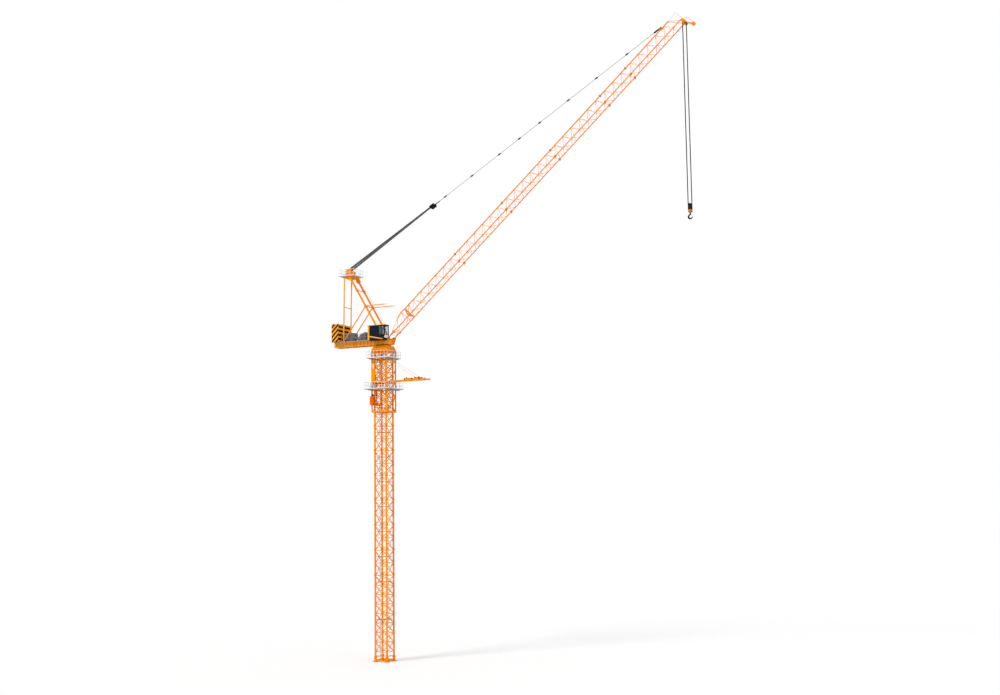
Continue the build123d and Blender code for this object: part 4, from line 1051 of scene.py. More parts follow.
@dataclass
class MastDressing(Dressing):
    """Splice collars and bolts, anchor bolts, foot ribs and hatch rims of the mast.

    Attributes:
        half: Half the spacing of the legs.
        joint_half: Half the width of a splice.
        base_top: Top of the base section.
        section: Height of one section.
        sections: Count of sections above the base.
        foot_top: Top of the feet.
    """

    half: float = 97.0
    joint_half: float = 13.5
    base_top: float = 1229.0
    section: float = 363.0
    sections: int = 9
    foot_top: float = 66.0

    def build(self) -> None:
        """Makes the pieces."""
        legs = (-self.half, self.half)
        levels = np.concatenate(((self.foot_top,), self.base_top + self.section * np.arange(self.sections)))
        joints = Shape().blocks((-15, -15, 9.5, 15, 15, 14.5, 1), places=lattice(legs, legs, levels))
        for facing in (Facing.FORE, Facing.AFT, Facing.FAR, Facing.NEAR):
            axis = int(np.abs(facing.value).argmax())
            near = lattice(legs, (-7.5, 7.5), levels, (5, 19), legs)
            seats = np.zeros((len(near), 3))
            seats[:, axis] = near[:, 4] + facing.value[axis] * self.joint_half
            seats[:, 1 - axis] = near[:, 0] + near[:, 1]
            seats[:, 2] = near[:, 2] + near[:, 3]
            outer = seats[:, axis] * facing.value[axis] > self.half
            joints.bolts(seats[outer], facing, 2.6)
        joints.piece("mast_splice_bolts", self.finishes["mast"], "tower")
        rows = lattice(legs, (-23, 23), legs, (-23, 23))
        seats = np.column_stack((rows[:, 0] + rows[:, 1], rows[:, 2] + rows[:, 3], np.full(len(rows), 9)))
        Shape().bolts(seats, Facing.UP, 5).piece("anchor_bolts", self.finishes["plate"], "tower")
        ribs = Shape()
        wedge = slab(((14, 9), (29, 9), (14, 34)), -1.5, 1.5)
        for axes in quarter_turns():
            for corner in lattice(legs, legs, 0):
                if corner @ axes[0] > 0:
                    ribs.add(wedge, frame=Frame(corner, axes))
        ribs.piece("foot_ribs", self.finishes["mast"], "tower")
        self.rims()

    def rims(self) -> None:
        """Rims round the hatches of the rest platforms, which lie on alternate sides."""
        rims = Shape()
        first = (600, self.base_top - 0.25 * self.section)
        heights = np.concatenate((first, self.base_top + self.section * (np.arange(self.sections) + 0.75)))
        for start, middle in enumerate((-27.3, 27.3)):
            rims.blocks(
                (-33.5, -30, 0, 33.5, -28, 5, 0.5),
                (-33.5, 28, 0, 33.5, 30, 5, 0.5),
                (-33.5, -28, 0, -31, 28, 5, 0.5),
                (31, -28, 0, 33.5, 28, 5, 0.5),
                places=lattice(middle, 0, heights[start::2] + 4),
            )
        rims.piece("hatch_rims", self.finishes["rail"], "tower")


@dataclass
class CageDressing(Dressing):
    """Guide rollers, ram fittings, hoses, boxes, toe boards and beam fittings of the climbing cage.

    Attributes:
        ram_axis: Place of the ram's axis on the ground.
        roller_levels: Heights of the rollers.
        leg: Half the spacing of the cage's legs.
        stay_top: Upper end of the far stay of the introduction beam.
        stay_foot: Its lower end.
    """

    ram_axis: Point = (-124.0, 0.0, 0.0)
    roller_levels: tuple[float, ...] = (3652.0, 4028.0, 4088.0, 4498.0)
    leg: float = 127.0
    stay_top: Point = (135.0, 84.0, 4380.0)
    stay_foot: Point = (640.0, 84.0, 4070.0)

    def build(self) -> None:
        """Makes the pieces."""
        self.rollers()
        self.ram()
        self.hydraulics()
        self.control()
        self.decks()
        self.beam()

    def rollers(self) -> None:
        """Rollers of the cage that run on the mast's legs, each between two cheeks."""
        wheels, cheeks = Shape(), Shape()
        rows = lattice((-113, 113), (-97, 97), self.roller_levels)
        outer = rows[:, 0] > 0
        tread = turned(((-7, 4), (-6, 5.7), (6, 5.7), (7, 4)), ZERO, Facing.FAR, 18)
        for facing, other in ((Facing.FORE, Facing.FAR), (Facing.FAR, Facing.FORE)):
            axes = Frame(np.zeros(3), np.array((facing.value, other.value, Facing.UP.value)))
            wheels.add(tread, rows, axes)
            wheels.rods((0, -10.5, 0, 0, 10.5, 0, 1.6), places=rows, frame=axes)
            for side in (-9.4, 7.8):
                far = side + 1.6
                cheeks.blocks((-4, side, -6.5, 7, far, 6.5, 0.3), places=rows[outer], frame=axes)
                cheeks.blocks((-7, side, -6.5, 4, far, 6.5, 0.3), places=rows[~outer], frame=axes)
        wheels.piece("guide_rollers", self.finishes["dark"], "tower")
        cheeks.piece("roller_cheeks", self.finishes["mast"], "tower")

    def ram(self) -> None:
        """Sleeve and gaiter, gland, pins and hoses of the climbing ram."""
        sleeve = Shape()
        gaiter = ((3763, 6), *finned(3764, 3836, 3, 7.6, 9.5), (3837, 6))
        sleeve.lathe(gaiter, self.ram_axis, Facing.UP, 28)
        sleeve.lathe(((3868, 10.2), (3870, 13), (4006, 13), (4008, 10.2)), self.ram_axis, Facing.UP, 28)
        sleeve.blocks(
            (-136, -98, 3722, -133.6, 98, 3727, 0.6),
            (-136, -98, 3753, -133.6, 98, 3758, 0.6),
        )
        sleeve.piece("ram_sleeve", self.finishes["red"], "tower")
        fittings = Shape()
        gland = ((3836, 7), (3838, 11.6), (3850, 11.6), (3852, 10.8), (3856, 10.8), (3857, 10.1))
        collar = ((4016, 10.1), (4017, 11.2), (4023, 11.2), (4024, 10.1))
        for profile in (gland, collar):
            fittings.lathe(profile, self.ram_axis, Facing.UP, 28)
        fittings.rods(
            (-133, 0, 3868, -141, 0, 3868, 3.4, 12),
            (-133, 0, 4008, -141, 0, 4008, 3.4, 12),
        )
        for side, facing in ACROSS:
            fittings.bolts(lattice(-124, side * 10, 4035), facing, 4.6)
            fittings.bolts(lattice(-134, side * 88, (3731, 3749)), Facing.AFT, 4)
            fittings.bolts(lattice(-134, side * 12, (3733, 3747)), Facing.AFT, 3.6)
        fittings.blocks((-139, -7, 3729, -133, 7, 3758, 1.5))
        fittings.piece("ram_fittings", self.finishes["dark"], "tower")
        hoses = Shape()
        for offset, level in ((-4, 3868), (4, 4008)):
            hold, hang = (-116 + offset, -152, level + 40), (-172, -6, level + 12)
            hoses.add(swept(bend((-112 + offset, -156, 3848), hold, hang, (-141, 0, level)), 2.3, 10, 2, 5))
        hoses.piece("ram_hoses", self.finishes["rubber"], "tower")

    def hydraulics(self) -> None:
        """Panels, motor, cap, gauge and bolts of the hydraulic unit."""
        unit = Shape().blocks(
            (-138.5, -180, 3841, -82.5, -132, 3848, 1.2),
            (-139, -178.5, 3722, -82, -134.5, 3727, 1),
            (-128, -178.8, 3742, -94, -176.5, 3828, 1),
        )
        unit.piece("hydraulic_unit_panels", self.finishes["unit"], "tower")
        motor = Shape()
        motor.lathe(
            ((-4, 8), *finned(0, 26, 1.6, 10.8, 12.5), (28, 9), (30, 6)), (-98, -156, 3852), Facing.UP, 26
        )
        motor.lathe(((0, 4.4), (3, 4.4), (4, 3.2)), (-128, -146, 3848), Facing.UP, 16)
        motor.lathe(((0, 5), (2.4, 5), (2.6, 4.2)), (-103, -178.8, 3812), Facing.NEAR, 20)
        motor.rods((-122, -180.5, 3762, -122, -180.5, 3800, 1.2))
        motor.bolts(lattice((-125, -97), -178.8, (3746, 3824)), Facing.NEAR, 1.8)
        motor.piece("hydraulic_unit_fittings", self.finishes["dark"], "tower")

    def control(self) -> None:
        """Door and fittings of the control box, and ribs of the closing plate."""
        door = Shape().blocks(
            (-124.5, -177, 3964, -99.5, -174.5, 4030, 0.8),
            (-128.5, -176.5, 4035, -95.5, -133, 4040, 1.2),
        )
        door.piece("control_box_door", self.finishes["white"], "tower")
        knobs = Shape().rods(
            (-103.5, -178.6, 3988, -103.5, -178.6, 4006, 1),
            (-125, -177.6, 3978, -125, -177.6, 3986, 1.1),
            (-125, -177.6, 3996, -125, -177.6, 4004, 1.1),
        )
        places = lattice((-117, -111), -177, (4018, 4010))
        knobs.lathe(((0, 2.6), (2.2, 2.6), (3, 1.8)), ZERO, Facing.NEAR, 16, places)
        cable = bend((-112, -150, 3957), (-112, -150, 3945), (-108, -150, 3900), (-110, -156, 3850))
        knobs.add(swept(cable, 1.8, 8))
        knobs.piece("control_box_fittings", self.finishes["dark"], "tower")
        plate = Shape()
        for level in (4056, 4104, 4152, 4200, 4252):
            plate.blocks((-118, -137, level, -73, -134.5, level + 4, 0.6))
        plate.bolts(lattice((-114, -77), -134.8, (4078, 4126, 4176, 4226)), Facing.NEAR, 1.8)
        plate.piece("cage_plate_ribs", self.finishes["mast"], "tower")

    def decks(self) -> None:
        """Toe boards round both decks and splice bolts of the cage's legs."""
        boards = Shape()
        for half, low in ((213.5, 3957), (186.5, 4419)):
            for side in SIDES:
                inner, outer = side * (half - 1.6), side * (half + 0.4)
                boards.blocks(
                    (-half, inner, low, half, outer, low + 11, 0.4),
                    (inner, -half, low, outer, half, low + 11, 0.4),
                )
        boards.piece("toe_boards", self.finishes["rail"], "tower")
        legs = (-self.leg, self.leg)
        joints = Shape()
        joints.blocks((-9.6, -9.6, -9, 9.6, 9.6, 9, 1), places=lattice(legs, legs, (3780, 4240)))
        for side in SIDES:
            places = lattice(side * 136.6, legs, (3775, 3785, 4235, 4245))
            joints.bolts(places, (side, 0, 0), 2.2)
            joints.bolts(places[:, (1, 0, 2)], (0, side, 0), 2.2)
        joints.piece("cage_leg_joints", self.finishes["mast"], "tower")

    def beam(self) -> None:
        """Clevises and turnbuckles of the beam's stays, and wheels and blocks of its trolley."""
        root = np.array(self.stay_top)
        run = np.array(self.stay_foot) - root
        steel, wheels, blocks = Shape(), Shape(), Shape()
        turnbuckle = ((0, 1.8), (2, 3.4), (30, 3.4), (32, 1.8))
        rim = ((-4, 7), (-3, 8.6), (2, 8.6), (2.5, 10.4), (4, 10.4), (4.6, 9))
        for side, facing in ACROSS:
            flip = np.array((1, side, 1))
            for share in (0.12, 0.5, 0.9):
                steel.lathe(turnbuckle, tuple((root + run * share) * flip), tuple(run * flip), 14)
            steel.blocks((736, side * 66, 4078, 746, side * 80, 4094, 1))
            steel.bolts(lattice((738, 744), side * 77, (4066, 4074)), facing, 2)
            places = lattice((404, 527, 650), side * 82, 4087)
            wheels.lathe(rim, ZERO, facing, 24, places)
            wheels.rods((0, side * -6, 0, 0, side * 6.5, 0, 2.4), places=places)
        for place in (418, 566, 623):
            blocks.blocks(
                (place - 9, -62, 4092, place + 9, -36, 4111, 1.5),
                (place - 9, 36, 4092, place + 9, 62, 4111, 1.5),
            )
            blocks.rods((place, -64, 4104, place, 64, 4104, 3.2))
        steel.piece("beam_fittings", self.finishes["mast"], "tower")
        wheels.piece("trolley_wheels", self.finishes["dark"], "section_trolley")
        blocks.piece("trolley_blocks", self.finishes["winch"], "section_trolley")


@dataclass
class SlewingDressing(Dressing):
    """Toothed ring, flange bolts and ribs of the slewing base.

    Attributes:
        teeth: Count of teeth on the ring.
        root: Radius at the foot of a tooth.
        tooth: Height of a tooth.
        low: Lower face of the ring.
        high: Its upper face.
        flange: Place of the row of flange bolts.
    """

    teeth: int = 96
    root: float = 104.3
    tooth: float = 4.0
    low: float = 4604.5
    high: float = 4612.5
    flange: float = 131.5

    def build(self) -> None:
        """Makes the pieces."""
        part = np.arange(self.teeth * 4)
        angle = (part + np.where(part % 4 < 2, 0.12, -0.12)) * math.tau / len(part)
        reach = self.root + self.tooth * np.isin(part % 4, (1, 2))
        outline = np.column_stack((np.cos(angle) * reach, np.sin(angle) * reach))
        gear = Shape().add(slab(outline, self.low, self.high))
        gear.piece("slewing_teeth", self.finishes["dark"], "tower", 20)
        steel = Shape()
        for side in SIDES:
            rows = lattice(side * self.flange, np.linspace(-120, 120, 9), 4548)
            steel.bolts(rows, Facing.UP, 2.6)
            steel.bolts(rows[1:-1][:, (1, 0, 2)], Facing.UP, 2.6)
        rib = slab(((111, 4604), (128, 4548.2), (134.5, 4548.2), (116, 4603)), -2, 2)
        for axes in quarter_turns():
            for offset in np.linspace(-90, 90, 5):
                steel.add(rib, frame=Frame(offset * axes[2], axes))
        steel.piece("slewing_base_ribs", self.finishes["mast"], "tower")


@dataclass
class CounterJibDressing(Dressing):
    """Web ribs, heel pins, slab lugs, tie rods and cable tray of the counter-jib."""

    def build(self) -> None:
        """Makes the pieces."""
        steel, pins = Shape(), Shape()
        ribs = lattice(np.arange(-785, 100, 62), 0, 0)
        cap = ((0, 8.5), (2.5, 8.5), (3.5, 7.4), (3.6, 3.4), (5, 3.2))
        for side, facing in ACROSS:
            steel.blocks((-1.5, side * 85.2, 4626.2, 1.5, side * 93.5, 4688.8, 0.4), places=ribs)
            seats = lattice(np.arange(-470, -430, 9), side * 85, (4640, 4650, 4665, 4675))
            steel.bolts(seats, facing, 2)
            steel.blocks((-478, side * 84.8, 4632, -424, side * 86.4, 4683, 0.5))
            for reach, turn in ((107, side), (61, -side)):
                pins.lathe(cap, (141, side * reach, 4720), (0, turn, 0), 22)
            pins.bolts(lattice((-657, -629, 46, 74), side * 110, 4706), facing, 2.6)
        steel.piece("girder_ribs", self.finishes["mast"], "superstructure")
        pins.piece("heel_pins", self.finishes["dark"], "superstructure")
        self.lugs()
        tray = Shape().blocks((-480, 52, 4695, 90, 66, 4699, 0.5))
        along, wave = np.linspace(-478, 88, 60), np.linspace(0, 40, 60)
        for offset in (54.5, 58.5, 62.5):
            line = np.column_stack((along, np.full(60, offset), 4701 + 0.7 * np.sin(wave + offset)))
            tray.add(swept(line, 1.7, 8))
        tray.piece("cable_tray", self.finishes["dark"], "superstructure")

    def lugs(self) -> None:
        """Lifting lugs on the counterweight's slabs and the bolts of their tie rods."""
        lugs = Shape()
        angle = np.linspace(-0.1, math.pi + 0.1, 18)
        loop = np.column_stack((np.zeros(18), 9 * np.cos(angle), 9 * np.sin(angle)))
        places = lattice((-788, -699), (-150, -50, 50, 150), 4966.5)
        lugs.add(swept(loop, 2.1, 8), places)
        lugs.blocks((-5, -13, -1, 5, 13, 1.5, 0.5), places=places)
        for reach, facing in ((-803, Facing.AFT), (-684, Facing.FORE)):
            lugs.bolts(lattice(reach, (-165, 165), np.linspace(4715, 4940, 5)), facing, 3)
        lugs.piece("slab_lugs", self.finishes["dark"], "superstructure")


@dataclass
class WinchDressing(Dressing):
    """Rope turns on both drums, drives, covers and the doors of the electric cabinet.

    Attributes:
        luffing: Axis of the luffing drum, along the crane and up.
        hoist: Axis of the hoist drum.
        pitch: Distance between turns of rope.
        crown: Height of a turn of rope above the radius under it.
    """

    luffing: tuple[float, float] = (-628.0, 4752.0)
    hoist: tuple[float, float] = (-352.0, 4760.0)
    pitch: float = 5.6
    crown: float = 2.4

    def build(self) -> None:
        """Makes the pieces."""
        self.turns("luffing_rope_turns", "luffing_drum", self.luffing, 40.4, 82)
        self.turns("hoist_rope_turns", "hoist_drum", self.hoist, 44.4, 90)
        self.drives()
        self.fittings()
        self.cabinet()

    def turns(self, name: str, body: str, centre: tuple[float, float], radius: float, length: float) -> None:
        """Rope wound on a drum: the radius rises by a half round that moves one pitch along for each turn.

        Args:
            name: Name of the piece.
            body: The drum's body.
            centre: Place of the drum's axis.
            radius: Radius under the rope.
            length: Wound length.
        """
        sides, rows = 48, 112
        along = np.linspace(-length / 2, length / 2, rows)[:, None]
        angle = circle(sides)[None]
        share = (along / self.pitch + angle / math.tau) % 1 - 0.5
        reach = radius + self.crown * np.sqrt(np.clip(1 - (2 * share) ** 2, 0, 1))
        reach[[0, -1]] = radius - 1
        across = np.broadcast_to(along, reach.shape)
        points = (centre[0] - reach * np.sin(angle), across, centre[1] - reach * np.cos(angle))
        wound = Shape().add((np.stack(points, -1).reshape(-1, 3), rings(rows, sides)))
        wound.piece(name, self.finishes["drum_rope"], body, 70)

    def drives(self) -> None:
        """Motors with fins, gearboxes and brakes by both winches."""
        grey = Shape()
        motor = ((-3, 15), *finned(0, 54, 2.2, 17.6, 20), (56, 18), (62, 17), (64, 12))
        grey.lathe(motor, (-488, 22, 4724), Facing.FORE, 30)
        # The motor's foot, a gearbox with its cap, and three housings.
        grey.blocks(
            (-486, 4, 4695, -436, 40, 4703, 1.2),
            (-474, -50, 4695, -440, -12, 4757, 2),
            (-470, -44, 4757, -452, -18, 4766, 1.5),
            (-258, -46, 4695, -240, 46, 4762, 2),
            (-436, -46, 4695, -411, 2, 4768, 2),
            (-432, 46, 4695, -412, 58, 4752, 2),
        )
        for (place, level), reach, wide in ((self.luffing, 69, 24), (self.hoist, 73.5, 26)):
            brake = ((0, wide), (3, wide + 2), (12, wide + 2), (16, wide - 6), (22, wide - 8))
            grey.lathe(brake, (place, reach, level), Facing.FAR, 34)
        grey.piece("winch_drives", self.finishes["winch"], "superstructure")

    def fittings(self) -> None:
        """Vents, bolts, covers and the tool box by both winches."""
        dark = Shape().lathe(((0, 24), (2, 24.4), (4, 24)), (-424, 22, 4724), Facing.FORE, 36)
        dark.blocks(
            (-426, 14, 4744, -414, 30, 4757, 1.5),
            (-466, -51.5, 4712, -448, -49.5, 4744, 0.8),
        )
        dark.blocks((-557, -63.6, 0, -506, -61.8, 3, 0.4), places=lattice(0, 0, np.arange(4712, 4815, 7)))
        angle = circle(8)
        for side, facing in ACROSS:
            for (place, level), reach in ((self.luffing, 65.6), (self.hoist, 70)):
                ring = (place + 14.5 * np.cos(angle), np.full(8, side * reach), level + 14.5 * np.sin(angle))
                dark.bolts(np.column_stack(ring), facing, 2.2)
        dark.bolts(lattice((-560, -499), -62, (4703, 4822)), Facing.NEAR, 2.2)
        dark.piece("winch_fittings", self.finishes["dark"], "superstructure")
        pale = Shape().blocks(
            (-560, -55, 4829.5, -500, 55, 4833, 1),
            (-548, -64.8, 4818, -520, -62, 4826, 0.6),
            (-466, -52.4, 4748, -450, -49.8, 4755, 0.5),
            (-420, -62, 4695, -408, -40, 4722, 1.2),
        )
        pale.piece("winch_covers", self.finishes["white"], "superstructure")
        amber = Shape().blocks(
            (-240, -66, 4695, -202, -42, 4727, 2),
            (-238, -67.2, 4700, -206, -65.6, 4722, 0.8),
        )
        amber.piece("tool_box", self.finishes["pale"], "superstructure")

    def cabinet(self) -> None:
        """Doors, hinges, vents and roof of the electric cabinet."""
        panels = Shape().blocks(
            (-177, -34, 4699, -173.4, -1, 4785, 1),
            (-237, -34, 4730, -234, -1, 4785, 1),
            (-177, 1, 4699, -173.4, 34, 4785, 1),
            (-237, 1, 4730, -234, 34, 4785, 1),
            (-239, -39, 4789, -171, 39, 4795, 1.4),
            (-233, -37.4, 4700, -177, -34.6, 4785, 1),
        )
        panels.piece("cabinet_doors", self.finishes["white"], "superstructure")
        trim = Shape()
        trim.blocks((-226, -38.4, 0, -184, -36.9, 1.8, 0.3), places=lattice(0, 0, np.arange(4755, 4780, 4)))
        trim.rods(
            (-171.5, -4, 4735, -171.5, -4, 4751, 1.1),
            (-171.5, 4, 4735, -171.5, 4, 4751, 1.1),
        )
        trim.piece("cabinet_fittings", self.finishes["dark"], "superstructure")


def squared(value: np.ndarray) -> np.ndarray:
    """Sine or cosine pulled towards plus or minus one, which turns a ball into a cushion.

    Args:
        value: Values from -1 to 1.

    Returns:
        The values with their size raised to 0.45.
    """
    return np.sign(value) * np.abs(value) ** 0.45


def cushion(low: Row, high: Row) -> Form:
    """Crowned cushion: a squared ball whose width shrinks by 0.05 times the squared cosine of twice
    the turn, so that its sides are pulled in between the corners.

    Args:
        low: Lowest corner.
        high: Highest corner.

    Returns:
        The form.
    """
    sides, rows = 48, 25
    lift = np.linspace(-1.45, 1.45, rows)[:, None]
    turn = circle(sides)[None]
    level = squared(np.cos(lift))
    tall = np.broadcast_to(squared(np.sin(lift)), (rows, sides))
    ball = np.stack((level * squared(np.cos(turn)), level * squared(np.sin(turn)), tall), -1)
    ball[..., :2] *= 1 - 0.05 * np.cos(2 * turn)[..., None] ** 2
    first, last = np.array(low), np.array(high)
    points = (first + last) / 2 + ball * (last - first) / 2
    return points.reshape(-1, 3), rings(rows, sides)


@dataclass
class CabDressing(Dressing):
    """Amber strips, window frames, handrail, wiper, door gear, seat and consoles of the cab.

    Attributes:
        sides: Side and place of the cab's near and far faces across the crane.
        nose: Frame of the pane in the nose, which leans.
    """

    sides: tuple[tuple[int, float], ...] = ((-1, -240.0), (1, -116.0))
    nose: Frame = leaning((162, -178, 4746), np.array((-0.4175, 0, -0.9087)))

    def build(self) -> None:
        """Makes the pieces."""
        self.strips()
        self.frames()
        self.trim()
        self.seat()

    def strips(self) -> None:
        """Amber strips down the rear corners and along the sill on both sides."""
        amber = Shape()
        upright = Frame(np.zeros(3), np.eye(3)[[0, 2, 1]])
        for side, face in self.sides:
            low, high = sorted((face, face + side * 2.2))
            amber.blocks((-127, low, 4674, -99, high, 4888, 0.6))
            strip = slab(((-99, 4719), (128, 4676), (128, 4689), (-99, 4741)), low, high + 0.6 * side)
            amber.add(strip, frame=upright)
        amber.blocks((-129.2, -240, 4674, -127, -116, 4888, 0.6))
        amber.piece("cab_amber_strips", self.finishes["amber"], "superstructure")

    def frames(self) -> None:
        """Rubber round the windows and the door, with wiper, handle and hinges."""
        dark = Shape()
        for side, face in self.sides:
            low, high = sorted((face + side * 2.4, face - side))
            dark.blocks(
                (60, low, 4742, 66.5, high, 4880, 0.8),
                (147, low, 4742, 154, high, 4880, 0.8),
                (66.5, low, 4742, 147, high, 4748.5, 0.8),
                (66.5, low, 4874, 147, high, 4880, 0.8),
                (104, low, 4748.5, 108, high, 4874, 0.8),
            )
        # The windscreen's border, the wiper's foot and the border of the door.
        dark.blocks(
            (160.5, -231, 4744, 164, -226, 4879, 0.8),
            (160.5, -130, 4744, 164, -125, 4879, 0.8),
            (160.5, -226, 4744, 164, -130, 4749, 0.8),
            (160.5, -226, 4874, 164, -130, 4879, 0.8),
            (162, -184, 4745, 167, -172, 4753, 1),
            (-62, -241.2, 4722, 8, -239.6, 4724, 0.4),
            (-62, -241.2, 4872, 8, -239.6, 4874, 0.4),
            (-62, -241.2, 4722, -60, -239.6, 4874, 0.4),
            (6, -241.2, 4722, 8, -239.6, 4874, 0.4),
        )
        # The wiper's arm and blade, the door's handle and its three hinges.
        dark.rods(
            (165, -178, 4752, 165, -205, 4835, 1),
            (166, -211, 4800, 166, -197, 4868, 1.3),
            (0, -243, 4785, 0, -243, 4803, 1.2),
            (-63, -242, 4738, -63, -242, 4747, 1.7),
            (-63, -242, 4795, -63, -242, 4804, 1.7),
            (-63, -242, 4852, -63, -242, 4861, 1.7),
        )
        dark.piece("cab_frames", self.finishes["rubber"], "superstructure")

    def trim(self) -> None:
        """Skirt under the cab, handrails beside the door, and the pane in the nose with its frame; the pane
        is opaque pale paint, a painted reflection of the sky in the glass.
        """
        skirt = Shape().blocks((-124, -241, 4672.5, 126, -115, 4696, 1.5))
        skirt.piece("cab_skirt", self.finishes["navy"], "superstructure")
        rail = Shape()
        for place in (-90, 30):
            bow = ((-240, 4732), (-248, 4733), (-249.5, 4738), (-249.5, 4856), (-248, 4861), (-240, 4862))
            rail.add(swept(np.array([(place, *row) for row in bow]), 1.6, 10))
        rail.piece("cab_rails", self.finishes["dark"], "superstructure")
        # Opaque pale pane whose colour is a painted reflection of the sky.
        pane = Shape(self.nose).blocks((4, -50, 0, 46, 50, 1.6, 0.5))
        pane.piece("cab_nose_pane_painted_reflection", self.finishes["nose"], "superstructure")
        border = Shape(self.nose).blocks(
            (1, -53, 0, 4, 53, 2.4, 0.4),
            (46, -53, 0, 49, 53, 2.4, 0.4),
            (4, -53, 0, 46, -50, 2.4, 0.4),
            (4, 50, 0, 46, 53, 2.4, 0.4),
        )
        border.piece("cab_nose_frame", self.finishes["rubber"], "superstructure")

    def seat(self) -> None:
        """Cushioned seat on its foot, and the consoles beside it."""
        seat = Shape()
        seat.add(cushion((34, -200, 4712), (82, -156, 4727)))
        seat.add(cushion((25, -199, 4722), (38, -157, 4776)))
        seat.add(cushion((26, -188, 4776), (37, -168, 4793)))
        seat.lathe(((0, 16), (2, 15), (4, 6), (30, 5), (34, 9)), (60, -178, 4678), Facing.UP, 24)
        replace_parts(seat.piece("operator_seat", self.finishes["seat"], "superstructure"), "cab_seat")
        desk = Shape()
        lever = ((0, 2.4), (2, 1.2), (12, 1.2), (13, 3.2), (19, 3), (20, 1.6))
        for side in (-214, -152):
            desk.blocks((44, side, 4690, 92, side + 9, 4736, 2))
            desk.lathe(lever, (84, side + 4.5, 4736), Facing.UP, 14)
        screen = Frame(np.array((118, -212, 4790)), basis((0.35, 0, 0.94)))
        desk.blocks((-2, -16, -12, 2, 16, 12, 1), frame=screen)
        desk.piece("cab_consoles", self.finishes["dark"], "superstructure")


@dataclass
class AFrameDressing(Dressing):
    """Leg ladder and handrail, strut plates, grooved head sheaves and head bolts of the A-frame.

    Attributes:
        foot: Lower end of the far front leg.
        head: Its upper end.
        axle: Axis of the head's sheaves, along the crane and up.
    """

    foot: Point = (60.0, 99.0, 4695.0)
    head: Point = (-531.0, 99.0, 5681.0)
    axle: tuple[float, float] = (-574.0, 5796.0)

    def build(self) -> None:
        """Makes the pieces."""
        foot = np.array(self.foot)
        run = np.array(self.head) - foot
        along = run / float(np.linalg.norm(run))
        rails = Shape(leaning(self.foot, along)).rods(
            (60, 0, -27, 1080, 0, -27, 1.4),
            (60, 24, -27, 1080, 24, -27, 1.4),
            (80, 0, -60, 1060, 0, -60, 1.6),
        )
        rails.rods((0, 0, -27, 0, 24, -27, 1, 8), places=lattice(np.arange(70, 1075, 30), 0, 0))
        rails.rods((0, 0, -11, 0, 0, -60, 1.4, 8), places=lattice(np.arange(80, 1070, 98), 0, 0))
        rails.piece("leg_ladder", self.finishes["rail"], "superstructure")
        steel = Shape()
        for side in SIDES:
            for share in (0.524, 0.784):
                plates = leaning((foot + run * share) * (1, side, 1), along)
                steel.blocks(
                    (-26, -13, -16, 26, -11.2, 16, 0.6),
                    (-26, 11.2, -16, 26, 13, 16, 0.6),
                    frame=plates,
                )
                for reach, facing in ACROSS:
                    seats = lattice((-18, -6, 6, 18), reach * 13, (-8, 8))
                    steel.bolts(plates.place(seats), facing, 2.2)
            steel.rods((-626, side * 99, 4720, -266, side * 99, 5198, 8.2, 14))
        steel.blocks((-34, -20, -29, 24, 20, 29, 2), frame=leaning(foot + run * 0.965, along))
        steel.piece("leg_plates", self.finishes["leg"], "superstructure")
        self.sheaves()
        boards = Shape().blocks(
            (-648, -60, 5668, -604, -118, 5671, 0.6),
            (-706, -134.4, 5698, -442, -136.2, 5709, 0.4),
            (-706, 134.4, 5698, -442, 136.2, 5709, 0.4),
            (-706, -134, 5698, -704.4, 134, 5709, 0.4),
            (-443.6, -134, 5698, -442, 134, 5709, 0.4),
        )
        boards.piece("head_toe_boards", self.finishes["rail"], "superstructure")

    def sheaves(self) -> None:
        """Grooved sheaves, hub caps, bolts and the housing in the head."""
        grooves = Shape()
        rim = grooved((4.6, 30.6), (4, 31.2), (3.2, 30.8), (2.2, 27.2), (0, 26.2))
        place, level = self.axle
        grooves.lathe(rim, ZERO, Facing.FAR, 40, lattice(place, np.arange(-26, 27, 13), level))
        hub = ((0, 11), (3, 11), (4, 9.5), (4.2, 5), (7, 4.6))
        for side, facing in ACROSS:
            grooves.lathe(hub, (place, side * 48.5, level), facing, 24)
            grooves.bolts(lattice((-630, -604, -540, -516), side * 48.5, (5702, 5720)), facing, 2.6)
        grooves.blocks((-556, -31, 5712, -506, 24, 5768, 3))
        grooves.piece("head_sheaves", self.finishes["leg"], "superstructure")


